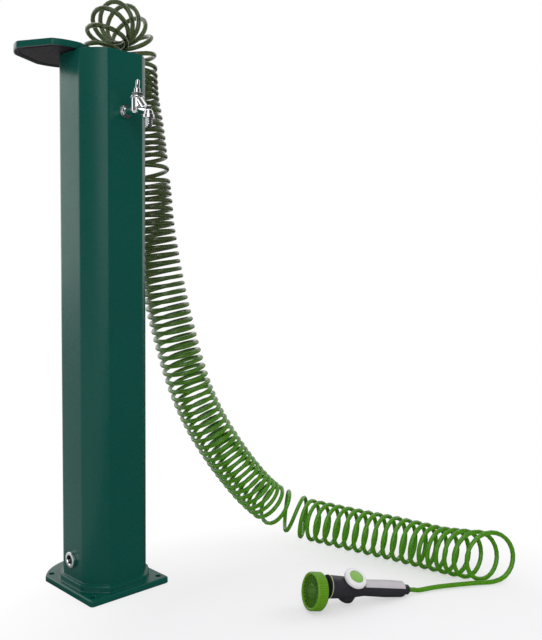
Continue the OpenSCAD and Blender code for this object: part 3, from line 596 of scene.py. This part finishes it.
def column_outline(look, grow=0.0, crease=None):
    """Flats joined by bowed corner faces, with soft creases, in millimetres."""
    low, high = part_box("column_panels")
    half_w, half_d = (high.x - low.x) / 2 / MM, (high.y - low.y) / 2 / MM
    fx, sy, bow = look.front_flat / 2 / MM, look.side_flat / 2 / MM, look.corner_bow / MM
    lean = math.atan2(half_d - sy, half_w - fx)
    fx, sy = fx + grow * math.tan(lean / 2), sy + grow * math.tan(math.pi / 4 - lean / 2)
    w, d = half_w + grow, half_d + grow
    corners = (bowed((fx, -d), (w, -sy), bow) + bowed((w, sy), (fx, d), bow)
               + bowed((-fx, d), (-w, sy), bow) + bowed((-w, -sy), (-fx, -d), bow))
    return softened(corners, crease or look.crease / MM, CREASE_STEPS, closed=True)


def standing(outline, height, place=None):
    """An outline as a ring of points at a height."""
    ring = [Vector((x * MM, y * MM, height * MM)) for x, y in outline]
    return [place @ v for v in ring] if place else ring


class STANDPIPE_OT_column(bpy.types.Operator):
    """Raises the column from its outline, with rounded edges round its open top"""

    bl_idname = "standpipe.column"
    bl_label = "Column"

    def execute(self, context):
        look = context.scene.standpipe_column
        wall, lip, top = look.wall / MM, POST_LIP, POST_HEIGHT
        levels = [(0, FOOT_TOP), (0, 130), (0, 500), (0, 870), (0, top - lip), (-lip * 0.3, top - lip * 0.3),
                  (-lip, top), (lip - wall, top), (lip * 0.3 - wall, top - lip * 0.3), (-wall, top - lip),
                  (-wall, FOOT_TOP), (0, FOOT_TOP)]
        rings = [standing(column_outline(look, grow), height) for grow, height in levels]
        piece = loft("column_tube", rings, angle=CREASE_ANGLE)
        seat(piece, "standpipe", "green_coat", "column_panels", "column_corners")
        return {"FINISHED"}


class STANDPIPE_OT_lid(bpy.types.Operator):
    """Makes the lid with its dark underside, swung open about its pin"""

    bl_idname = "standpipe.lid"
    bl_label = "Lid"

    def execute(self, context):
        look = context.scene.standpipe_column
        wall = look.wall / MM
        pin = Vector((*PIVOT, 0)) * MM
        swung = Matrix.Translation(pin) @ Matrix.Rotation(math.radians(LID_TURN), 4, "Z") @ Matrix.Translation(-pin)
        base, top = LID_BASE, LID_BASE + LID_HEIGHT

        def shape(name, levels):
            rings = [standing(column_outline(look, grow), height, swung) for grow, height in levels]
            return loft(name, rings, True, CREASE_ANGLE)

        shell = shape("lid_cover", [
            (-30, top), (-12, top), (-2.2, top), (-1.2, top - 0.3), (-0.4, top - 1), (0, top - 2.2), (0, base + 0.8),
            (-0.25, base + 0.2), (-0.8, base), (0.8 - wall, base), (0.25 - wall, base + 0.2),
            (-wall, base + 0.8), (-wall, top - wall), (-30, top - wall)])
        seat(shell, "lid", "green_coat", "lid_shell")
        under = top - wall - LINER_DEPTH
        liner = shape("lid_underside", [
            (-30, top - wall), (-wall - 0.2, top - wall), (-wall - 0.2, under + 1.2), (-wall - 0.6, under + 0.3),
            (-wall - 1.5, under), (-wall - 7, under), (-wall - 8, under + 1), (-wall - 11, under + 1),
            (-wall - 12, under), (-40, under)])
        seat(liner, "lid", "black_liner", "lid_liner")
        return {"FINISHED"}


class STANDPIPE_OT_foot(bpy.types.Operator):
    """Makes the foot plate with its round back, raised collar and bolt holes"""

    bl_idname = "standpipe.foot"
    bl_label = "Foot plate"

    def execute(self, context):
        look = context.scene.standpipe_column
        bolts = frame["record"]["mounts"][0]["dims"]
        low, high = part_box("foot_plate")
        left, right, front, back = low.x / MM, high.x / MM, low.y / MM, high.y / MM
        half, rise = (right - left) / 2, back - SIDE_BACK
        radius = (half * half + rise * rise) / (2 * rise)
        reach = math.asin(half / radius)
        outline = [(right - PLATE_CORNER * (1 - math.sin(a)), front + PLATE_CORNER * (1 - math.cos(a)))
                   for a in CORNER_TURNS]
        outline += [(radius * math.sin(a), back - radius + radius * math.cos(a))
                    for a in (reach * (1 - i / BACK_STEPS) for i in range(2 * BACK_STEPS + 1))]
        outline += [(left + PLATE_CORNER * (1 - math.cos(a)), front + PLATE_CORNER * (1 - math.sin(a)))
                    for a in CORNER_TURNS]

        def drawn_in(d):
            return [(x * (1 - d / half), (y - PLATE_MIDDLE) * (1 - d / PLATE_HALF) + PLATE_MIDDLE) for x, y in outline]

        top, brim = FOOT_TOP, COLLAR_TOP
        levels = [(1, 0), (0, 0.8), (0, top - 3), (0.3, top - 1.6), (0.9, top - 0.8), (1.8, top - 0.2), (3, top)]
        plate = loft("plate", [standing(drawn_in(d), z) for d, z in levels], True, 40)
        r, holes = bolts["hole_r_mm"], []
        for x in (-1, 1):
            for y in (-1, 1):
                at = (x * bolts["spacing_x_mm"] / 2, y * bolts["spacing_y_mm"] / 2, 0)
                profile = [(0, -2), (r, -2), (r, top - 0.9), (r + 0.9, top), (r + 1.9, top + 1), (0, top + 1)]
                holes.append(turned("hole", profile, along(at, (0, 0, 1)), 40))
        cut(plate, holes)
        levels = [(-0.5, top - 2), (6.6, top - 2), (7.4, top), (6.5, top + 0.5), (6.0, top + 1.6), (5.9, brim - 3),
                  (5.6, brim - 1.6), (4.9, brim - 0.6), (3.8, brim - 0.1), (2.6, brim), (1, brim + 0.5),
                  (-0.5, brim + 2), (-0.5, top - 2)]
        rings = [standing(column_outline(look, grow, COLLAR_CREASE), z) for grow, z in levels]
        collar = loft("collar", rings, angle=CREASE_ANGLE)
        piece = smoothed(joined("foot_casting", [plate, collar]), 34)
        seat(piece, "standpipe", "green_coat", "foot_plate")
        return {"FINISHED"}


# Inlet and tap

INLET_BORE, THREAD_PITCH, THREAD_DEPTH, THREAD_POINTS = 8, 1.8, 0.7, 22
TAP_HEIGHT, TAP_BODY_Y, TAP_OUTLET_Y, FACE_Y = 892, -112, -147, -76
UP, OUTWARDS = (0, 0, 1), (0, -1, 0)
GLAND_Z = TAP_HEIGHT + 22
HUB_Z, LEVER_LEAN = GLAND_Z + 6.4, math.radians(10)
KNURLS, KNURL_DEPTH = 32, 0.02
SPIGOT_RIBS, RIB_PITCH = 4, 2.9


def on_tap(y=TAP_BODY_Y, z=TAP_HEIGHT, axis=UP):
    """Places a piece on the tap, at its body unless another place is given."""
    return along((0, y, z), axis)


def closed_below(points):
    """The thread's points with their end pulled in, so that the bore closes below them."""
    return points + [(points[-1][0], points[-1][1] + 1), (6, points[-1][1] + 1.2)]


class STANDPIPE_OT_inlet(bpy.types.Operator):
    """Turns the inlet's ring with its threaded bore"""

    bl_idname = "standpipe.inlet"
    bl_label = "Water inlet"

    def execute(self, context):
        low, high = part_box("inlet_fitting")
        middle = (low + high) / 2 / MM
        face = low.x / MM
        place = along((face, middle.y, middle.z), (1, 0, 0))
        ring_r, bore_r = (high.y - low.y) / 2 / MM, INLET_BORE
        thread = [(bore_r + (THREAD_DEPTH if i % 2 else 0), 2.4 + i * THREAD_PITCH / 2) for i in range(THREAD_POINTS)]
        profile = softened([(10.5, 6), (ring_r, 6), (ring_r, 0), (bore_r + 1.6, 0)], 1.1)
        profile = [(6, 27), (10.5, 27), *profile, *closed_below(thread), (6, 24), (6, 27)]
        piece = turned("inlet_ring", profile, place, 56, angle=28)
        # The bore's darkness is painted shade, not a darker metal
        metal = painted_bore_shade(chromed(context.scene.standpipe_tap.chrome, "inlet_chrome"), middle * MM, bore_r + 1)
        seat(piece, "standpipe", "chrome", "inlet_fitting", material=metal)
        return {"FINISHED"}


class STANDPIPE_OT_tap(bpy.types.Operator):
    """Casts the tap's body and turns its rosette, nuts, lever and ribbed spigot"""

    bl_idname = "standpipe.tap"
    bl_label = "Lever tap"

    def execute(self, context):
        self.body()
        self.lever()
        self.outlet()
        return {"FINISHED"}

    def body(self):
        rosette = turned("tap_flange", [(8, 0), (12.4, 0), (12.4, 1.8), (12, 2.5), (11.2, 2.8), (8, 2.8), (8, 0)],
                         on_tap(FACE_Y, axis=OUTWARDS))
        seat(rosette, "standpipe", "chrome", "tap_rosette")
        cup = turned("cup", [(0, -10.3), (6, -10.3), (9.4, -8.6), (11, -5), (11, 19), (13, 19), (13, 22), (0, 22)],
                     on_tap(), soft=1.0)
        neck = turned("neck", [(0, 0), (9, 0), (9, 1), (7.9, 2.4), (7.5, 5), (7.5, 33.5), (0, 33.5)],
                      on_tap(FACE_Y - 2.5, axis=OUTWARDS), 40)
        low_run = turned("low_run", [(0, 0), (7.5, 0), (7.5, 35.7), (0, 35.7)], on_tap(axis=(0, -35, -7)), 40)
        slant = turned("slant", [(0, 0), (6, 0), (6.4, 22), (7.2, 47), (0, 47)],
                       on_tap(TAP_BODY_Y - 2, GLAND_Z, (0, -32, -35)), 40)
        elbow = turned("elbow", [(0, -9), (8, -9), (8.2, -4), (7.4, -1), (5, 1.4), (0, 2)],
                       on_tap(TAP_OUTLET_Y, TAP_HEIGHT - 7), 40)
        body = cast(joined("tap_casting", [cup, neck, low_run, slant, elbow]), 0.55, 6)
        seat(body, "standpipe", "chrome", "tap_body")

    def lever(self):
        gland = turned("tap_gland", [(3.6, 0), (10.2, 0), (11, 0.8), (11, 5.2), (10.2, 6), (3.6, 6), (3.6, 0)],
                       on_tap(z=GLAND_Z), 6, 0.5, angle=20)
        seat(gland, "standpipe", "chrome", "tap_gland_nut")
        hub = turned("hub", [(0, 0), (5.9, 0), (5.9, 6.8), (5, 8.2), (0, 8.4)], on_tap(z=HUB_Z), 40, 0.8)
        lean = (0, -math.sin(LEVER_LEAN), math.cos(LEVER_LEAN))
        stick = turned("stick", [(0, -1), (3.9, -1), (3.9, 12), (3.7, 13.6), (2.9, 15), (1.6, 15.8), (0, 16)],
                       on_tap(z=HUB_Z + 7, axis=lean), 32, 0.6)
        lever = smoothed(joined("tap_handle_lever", [hub, stick]), 40)
        seat(lever, "tap_handle", "chrome", "tap_lever")

    def outlet(self):
        low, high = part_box("outlet_nut")
        long = (high.z - low.z) / MM

        def knurled(a, h):
            return 1 - KNURL_DEPTH * (1 + math.cos(KNURLS * a)) / 2 if 1 < h < long - 1 else 1

        profile = [(6.2, 0), (8.6, 0), (10, 1.2), (10, long - 1.2), (9, long), (8.1, long), (8.1, 2), (6.2, 2),
                   (6.2, 0)]
        nut = turned("outlet_collar", profile, on_tap(TAP_OUTLET_Y, low.z / MM), 96, 0.4, knurled, 40)
        seat(nut, "standpipe", "chrome", "outlet_nut")

        low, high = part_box("hose_spigot")
        tall = (high.z - low.z) / MM
        ribs = [(6, tall - 4)]
        for i in range(SPIGOT_RIBS):
            z = tall - 5.2 - i * RIB_PITCH
            ribs += [(6.1, z), (7, z - 0.5), (6.9, z - 1.1), (6, z - 2.4)]
        profile = [(4, tall), (7.9, tall), (7.9, tall - 2), (6, tall - 2.4), *ribs, (5.6, 0.5), (5.1, 0), (4, 0),
                   (4, tall)]
        spigot = turned("ribbed_spigot", profile, on_tap(TAP_OUTLET_Y, low.z / MM), angle=40)
        seat(spigot, "standpipe", "chrome", "hose_spigot")


# Spray gun

GUN_TURN, GUN_PITCH, GUN_ROLL, HEAD_DROP = 160, 11, -32, 14
GUN_PLACE = (Matrix.Translation(Vector(GUN_TAIL) * MM) @ Matrix.Rotation(math.radians(GUN_TURN), 4, "Z")
             @ Matrix.Rotation(math.radians(-GUN_PITCH), 4, "Y") @ Matrix.Rotation(math.radians(GUN_ROLL), 4, "X"))
LENGTHWISE = Matrix(((0, 0, 1, 0), (1, 0, 0, 0), (0, 1, 0, 0), (0, 0, 0, 1)))
HEAD_X, HEAD_LONG, HEAD_RADIUS, VALVE_X = 178, 28, 33.5, 130
HANDLE = [(8.5, 12), (13, 14), (14, 20), (15, 54), (14, 100), (17, 122), (18.6, 136), (19.4, 152), (20, 166),
          (20, 175.5)]
# The grip's strip: its ends along the handle, its underside, and how its ends are rounded off
INSERT_FROM, INSERT_TO, INSERT_BASE = 16, 105, 0.2
END_ROUND, END_DROP, END_TUCK = 1.4, 0.9, 0.04
INSERT_SECTION = [(-35, 1), (-34, 1.6), (-31, 2), (-15, 2), (-13.5, 1.4), (-12, 2), (0, 2), (12, 2), (31, 2),
                  (34, 1.6), (35, 1)]
INSERT_STEPS = (0, 0.4, 1.4, 4, 12, 24, 38, 50, 64, 76, 85, 87.6, 88.6, 89)
TEETH, TOOTH_DEPTH, FACE_RIBS = 48, 0.03, 20
# Spray holes: radius of a hole, then the radius of each ring of holes and their number
HOLE_RADIUS, HOLE_RINGS = 0.9, ((10.8, 12), (7, 6))


def on_gun(x=0.0, y=0.0, z=0.0):
    """Places a piece on the gun, in millimetres from its tail along its axis."""
    return GUN_PLACE @ Matrix.Translation(Vector((x, y, z)) * MM)


def handle_radius(x):
    """Radius of the handle at a distance from its tail, in millimetres."""
    for (r, start), (s, end) in zip(HANDLE, HANDLE[1:]):
        if x <= end:
            return r + (s - r) * (x - start) / (end - start)
    return HANDLE[-1][0]


class STANDPIPE_OT_gun(bpy.types.Operator):
    """Makes the spray gun's body, grip, flow knob and turning head"""

    bl_idname = "standpipe.gun"
    bl_label = "Spray gun"

    def execute(self, context):
        self.body()
        self.insert()
        self.knob()
        self.head()
        return {"FINISHED"}

    def body(self):
        handle = turned("handle", [(0, HANDLE[0][1]), *HANDLE, (0, HANDLE[-1][1])], on_gun() @ LENGTHWISE)
        housing = turned("housing", [(0, -24), (16.2, -24), (18, -22), (18, 19.6), (16.6, 21), (0, 21)],
                         on_gun(VALVE_X))
        body = cast(joined("gun_casting", [handle, housing]), 0.8, 4)
        bore = turned("bore", [(0, -20), (13.05, -20), (13.05, 30), (0, 30)], on_gun(VALVE_X))
        cut(body, [bore])
        seat(smoothed(body, 40), "standpipe", "gun_black", "gun_body")

    def insert(self):
        """The pale grip: an arched strip along the handle's back, with a groove."""
        section = INSERT_SECTION + [(angle, INSERT_BASE) for angle, _ in reversed(INSERT_SECTION)]
        rings = []
        for x in INSERT_STEPS:
            edge = min(x, INSERT_TO - INSERT_FROM - x)
            low = max(0.0, 1 - edge / END_ROUND) ** 2
            r = handle_radius(INSERT_FROM + x)
            ring = []
            for angle, rise in section:
                a = math.radians(angle * (1 - END_TUCK * low))
                reach = r + (rise - low * END_DROP if rise > INSERT_BASE else rise)
                ring.append(on_gun() @ (Vector((INSERT_FROM + x, reach * math.sin(a), reach * math.cos(a))) * MM))
            rings.append(ring)
        piece = loft("grip_strip", rings, True, 36)
        seat(piece, "standpipe", "gun_grey", "grip_insert")

    def knob(self):
        profile = [(13.3, 9), (13.3, 7), (0, 7), (0, 0), (19.4, 0), (21, 1.4), (21, 5.8), (20.2, 7.2), (18, 9),
                   (13.3, 9)]
        knob = turned("flow_ring", profile, on_gun(VALVE_X, 0, 21.4), 72, 0.7)
        seat(knob, "flow_control", "gun_silver", "flow_knob")
        button = turned("flow_button", [(0, 0), (13, 0), (13, 1.4), (11, 2.1), (8, 2.55), (4, 2.9), (0, 3)],
                        on_gun(VALVE_X, 0, 28.4), 56, 0.4)
        seat(button, "flow_control", "gun_green", "knob_button", material=MATERIALS["button"])

    def head(self):
        """The turning head: a black back, a ribbed green rim and a recessed face with ribs and holes."""
        line = turned("pale_line", [(0, 175.5), (21, 175.5), (21, 176.5), (0, 176.5)], on_gun() @ LENGTHWISE, 64)
        seat(line, "standpipe", "gun_pale", "head_ring")
        profile = [(0, 176.4), (20.8, 176.4), (20.8, 177.2), (20.2, 177.6), (0, 177.6)]
        stop_face = turned("barrel_front", profile, on_gun() @ LENGTHWISE, 64)
        seat(stop_face, "standpipe", "gun_black")
        way = on_gun(0, 0, -HEAD_DROP) @ LENGTHWISE
        root, start, end, r = HEAD_X, HEAD_X + 8.2, HEAD_X + HEAD_LONG, HEAD_RADIUS
        profile = [(4.6, root), (21.4, root), (22.4, root + 0.6), (r - 2, root + 6.8), (r - 1.6, root + 7.6),
                   (r - 1.6, start), (4.6, start), (4.6, root)]
        back = turned("turret_back", profile, way, 96, angle=38)
        seat(back, "spray_turret", "gun_black")

        def gripped(a, h):
            return 1 - (TOOTH_DEPTH if start + 1 < h < end - 2.4 else 0.0) * max(0.0, math.cos(TEETH * a)) ** 2

        recess, floor = end - 7, end - 4
        profile = [(4.6, start), (r - 1.1, start), (r - 0.3, start + 0.5), (r, start + 1), (r, start + 1.5),
                   (r, end - 3), (r, end - 2.4), (r - 0.5, end - 1), (r - 1.9, end), (r - 4, end),
                   (r - 5.2, end - 0.8), (r - 5.6, recess), (4.6, recess), (4.6, start)]
        rim = turned("turret", profile, way, 288, ring=gripped, angle=38)
        seat(rim, "spray_turret", "gun_green", "spray_head")
        self.face(way, recess, floor, end)

    def face(self, way, recess, floor, end):
        profile = [(0, recess), (27.3, recess), (27.3, floor - 0.4), (26.8, floor), (14, floor), (13.4, floor + 1.4),
                   (12.6, floor + 1.8), (9, floor + 1.8), (8.4, floor + 1.2), (5.5, floor + 1.2), (4.9, floor + 2.1),
                   (0, floor + 2.3)]
        plate = turned("plate", profile, way, 72, angle=30)
        holes = [turned("hole", [(0, floor), (HOLE_RADIUS, floor), (HOLE_RADIUS, end), (0, end)],
                        way @ Matrix.Translation(Vector((away * math.cos(a), away * math.sin(a), 0)) * MM), 12)
                 for away, count in HOLE_RINGS for a in (math.tau * i / count for i in range(count))]
        cut(plate, [joined("holes", holes)])
        section = ((-0.9, floor - 0.4), (0.9, floor - 0.4), (0.7, floor + 2.4), (-0.7, floor + 2.4))
        ribs = []
        for i in range(FACE_RIBS):
            a = math.tau * i / FACE_RIBS
            out, across = Vector((math.cos(a), math.sin(a), 0)), Vector((-math.sin(a), math.cos(a), 0))
            ribs.append(loft("rib", [[way @ ((out * reach + across * side + Vector((0, 0, height))) * MM)
                                      for side, height in section] for reach in (15, 27.2)], True))
        face = smoothed(joined("turret_face", [plate, *ribs]), 30)
        seat(face, "spray_turret", "gun_dark_green", "spray_face")


class STANDPIPE_OT_fittings(bpy.types.Operator):
    """Gives the fittings that keep their solids a finish of their own"""

    bl_idname = "standpipe.fittings"
    bl_label = "Inner fittings"

    def execute(self, context):
        for row in frame["record"]["subparts"]:
            solid = NODES[row["node"]]
            solid.data.materials.clear()
            solid.data.materials.append(MATERIALS[row["material_slot"]])
        return {"FINISHED"}


# Stage

CAMERA_AT = (-0.81605, -1.29403, 0.60937)
CAMERA_RIGHT = (0.71604306, -0.69799995, 0.00885489)
CAMERA_UP = (0.03860171, 0.05225884, 0.99788723)
CAMERA_AHEAD = (0.69698798, 0.71418841, -0.06436358)
FOCAL_PIXELS, FRAME_WIDTH, SENSOR = 784.578, 542, 36
# Place, target and size of each lamp, in metres
LAMPS = {"key": ((-2.4, -2.6, 3.2), (0.1, -0.1, 0.4), 2.6), "fill": ((3.1, -1.6, 2.4), (0.1, -0.1, 0.4), 2.4),
         "side": ((-2.2, 2.2, 0.8), (0, 0, 0.4), 1.6)}
FLOOR_SIZE, FLOOR_DROP = 30, 0.0004
# The floor glows white away from its middle, so that only the shadow by the object shows
FLOOR_MIDDLE, FLOOR_FADE, FLOOR_GLOW = (0.15, -0.55, 0), (0.4, 0.68), (0.5, 1)
# How bright reflections show the floor, from the front right to the back left
GLOSS_WAY, GLOSS_RANGE, FLOOR_GLOSS = (-0.7071, 0.7071, 0), (0.1, 0.26), (0.05, 0.58)
# Brightness of the studio round the object, by the compass angle in degrees from +Y towards +X
STUDIO = [(-180, 0.04), (-165, 0.1), (-146, 1.9), (-128, 1.6), (-112, 0.25), (-80, 0.03), (-62, 0.35), (-44, 1.8),
          (0, 1.8), (24, 1.0), (44, 0.7), (66, 0.7), (84, 1.3), (100, 0.6), (122, 0.04), (180, 0.04)]
STUDIO_TOP, EVEN_LIGHT = 2, 0.7


def glowing(owner, kind, strength=1):
    """A white shader that gives light."""
    return node(owner, kind, {"Color": (1, 1, 1, 1), "Strength": strength})


def mixed(owner, share, first, second):
    """Mixes two shaders by a share."""
    mix = node(owner, "ShaderNodeMixShader")
    for i, socket in enumerate((share, first, second)):
        link(owner, socket, mix.inputs[i])
    return mix.outputs[0]


def ray_kinds(owner):
    """Whether a ray comes from the camera, straight or through the hose, and whether it is a reflection."""
    path, direct = node(owner, "ShaderNodeLightPath"), node(owner, "ShaderNodeMath", operation="MAXIMUM")
    link(owner, path.outputs["Is Camera Ray"], direct.inputs[0])
    link(owner, path.outputs["Is Transmission Ray"], direct.inputs[1])
    return direct.outputs[0], path.outputs["Is Glossy Ray"]


class STANDPIPE_OT_stage(bpy.types.Operator):
    """Sets the floor, the lamps, the bright studio round the object and the camera"""

    bl_idname = "standpipe.stage"
    bl_label = "Stage"

    def execute(self, context):
        look, scene = context.scene.standpipe_stage, context.scene
        scene.view_settings.view_transform = "Standard"
        put_down()
        bpy.ops.mesh.primitive_plane_add(size=FLOOR_SIZE, location=(0, 0, -FLOOR_DROP))
        floor = context.object
        floor.name = "floor"
        floor.data.materials.append(self.floor_finish(look.floor))
        self.studio(scene)
        for name, (place, target, size) in LAMPS.items():
            self.lamp(name, place, target, size, getattr(look, name + "_power"))
        put_down()
        bpy.ops.object.camera_add()
        camera = context.object
        camera.matrix_world = Matrix.Translation(CAMERA_AT) @ Matrix(
            (CAMERA_RIGHT, CAMERA_UP, -Vector(CAMERA_AHEAD))).transposed().to_4x4()
        camera.data.sensor_fit, camera.data.sensor_width = "HORIZONTAL", SENSOR
        camera.data.lens = SENSOR * FOCAL_PIXELS / FRAME_WIDTH
        scene.camera = camera
        return {"FINISHED"}

    def lamp(self, name, place, target, size, power):
        put_down()
        aim = (Vector(target) - Vector(place)).to_track_quat("-Z", "Y").to_euler()
        bpy.ops.object.light_add(type="AREA", location=place, rotation=aim)
        lamp = bpy.context.object
        lamp.name, lamp.data.shape, lamp.data.size, lamp.data.energy = name, "DISK", size, power
        lamp.visible_glossy = False

    def floor_finish(self, colour):
        """A pale floor with the object's shadow, which fades to white. Reflections show it in grey."""
        floor = finish("pale_floor", colour, 0.9, Specular_IOR_Level=0.0)
        place, share = own_place(floor), node(floor, "ShaderNodeMath", operation="MULTIPLY")
        away = node(floor, "ShaderNodeVectorMath", {1: FLOOR_MIDDLE}, operation="DISTANCE")
        side = node(floor, "ShaderNodeVectorMath", {1: GLOSS_WAY}, operation="DOT_PRODUCT")
        for measure in (away, side):
            link(floor, place, measure.inputs[0])
        direct, glossy = ray_kinds(floor)
        link(floor, direct, share.inputs[0])
        link(floor, spread(floor, away.outputs["Value"], *FLOOR_GLOW, *FLOOR_FADE), share.inputs[1])
        white, grey = (glowing(floor, "ShaderNodeEmission") for _ in range(2))
        link(floor, spread(floor, side.outputs["Value"], *FLOOR_GLOSS, *GLOSS_RANGE), grey.inputs["Strength"])
        shown = mixed(floor, share.outputs[0], shader_of(floor).outputs[0], white.outputs[0])
        shown = mixed(floor, glossy, shown, grey.outputs[0])
        link(floor, shown, floor.node_tree.nodes["Material Output"].inputs["Surface"])
        return floor

    def studio(self, scene):
        """White to the camera, strips of light for reflections and an even light for the rest."""
        scene.world = world = bpy.data.worlds.new("studio")
        world.use_nodes = True
        place, parts = node(world, "ShaderNodeTexCoord"), node(world, "ShaderNodeSeparateXYZ")
        compass, ramp = node(world, "ShaderNodeMath", operation="ARCTAN2"), node(world, "ShaderNodeValToRGB")
        link(world, place.outputs["Generated"], parts.inputs[0])
        link(world, parts.outputs["X"], compass.inputs[0])
        link(world, parts.outputs["Y"], compass.inputs[1])
        link(world, spread(world, compass.outputs[0], 0, 1, -math.pi, math.pi), ramp.inputs["Fac"])
        marks = ramp.color_ramp.elements
        marks.remove(marks[-1])
        for i, (angle, level) in enumerate(STUDIO):
            at, grey = (angle + 180) / 360, level / STUDIO_TOP
            mark = marks[0] if i == 0 else marks.new(at)
            mark.position, mark.color = at, (grey, grey, grey, 1)
        strips, white, even = (glowing(world, "ShaderNodeBackground", s) for s in (STUDIO_TOP, 1, EVEN_LIGHT))
        link(world, ramp.outputs["Color"], strips.inputs["Color"])
        direct, glossy = ray_kinds(world)
        around = mixed(world, glossy, even.outputs[0], strips.outputs[0])
        shown = mixed(world, direct, around, white.outputs[0])
        link(world, shown, world.node_tree.nodes["World Output"].inputs["Surface"])


class STANDPIPE_PT_panel(bpy.types.Panel):
    """Lists the standpipe's pieces"""

    bl_idname = "STANDPIPE_PT_panel"
    bl_label = "Garden standpipe"
    bl_space_type = "VIEW_3D"
    bl_region_type = "UI"
    bl_category = "Standpipe"

    def draw(self, context):
        for name in LOOKS:
            group = getattr(context.scene, "standpipe_" + name)
            box = self.layout.box()
            for key in group.bl_rna.properties.keys():
                if key not in {"rna_type", "name"}:
                    box.prop(group, key)
        for operator in OPERATORS:
            self.layout.operator(operator.bl_idname)


LOOKS = {"column": ColumnLook, "hose": HoseLook, "tap": TapLook, "gun": GunLook, "stage": StageLook}
OPERATORS = (STANDPIPE_OT_stage, STANDPIPE_OT_fittings, STANDPIPE_OT_hose, STANDPIPE_OT_column, STANDPIPE_OT_lid,
             STANDPIPE_OT_foot, STANDPIPE_OT_inlet, STANDPIPE_OT_tap, STANDPIPE_OT_gun)


def register():
    for each in (*LOOKS.values(), *OPERATORS, STANDPIPE_PT_panel):
        bpy.utils.register_class(each)
    for name, group in LOOKS.items():
        setattr(bpy.types.Scene, "standpipe_" + name, PointerProperty(type=group))


def unregister():
    for name in LOOKS:
        delattr(bpy.types.Scene, "standpipe_" + name)
    for each in reversed((*LOOKS.values(), *OPERATORS, STANDPIPE_PT_panel)):
        bpy.utils.unregister_class(each)


def main():
    register()
    make_finishes(bpy.context.scene)
    for operator in OPERATORS:
        group, name = operator.bl_idname.split(".")
        getattr(getattr(bpy.ops, group), name)()


if __name__ == "__main__":
    main()
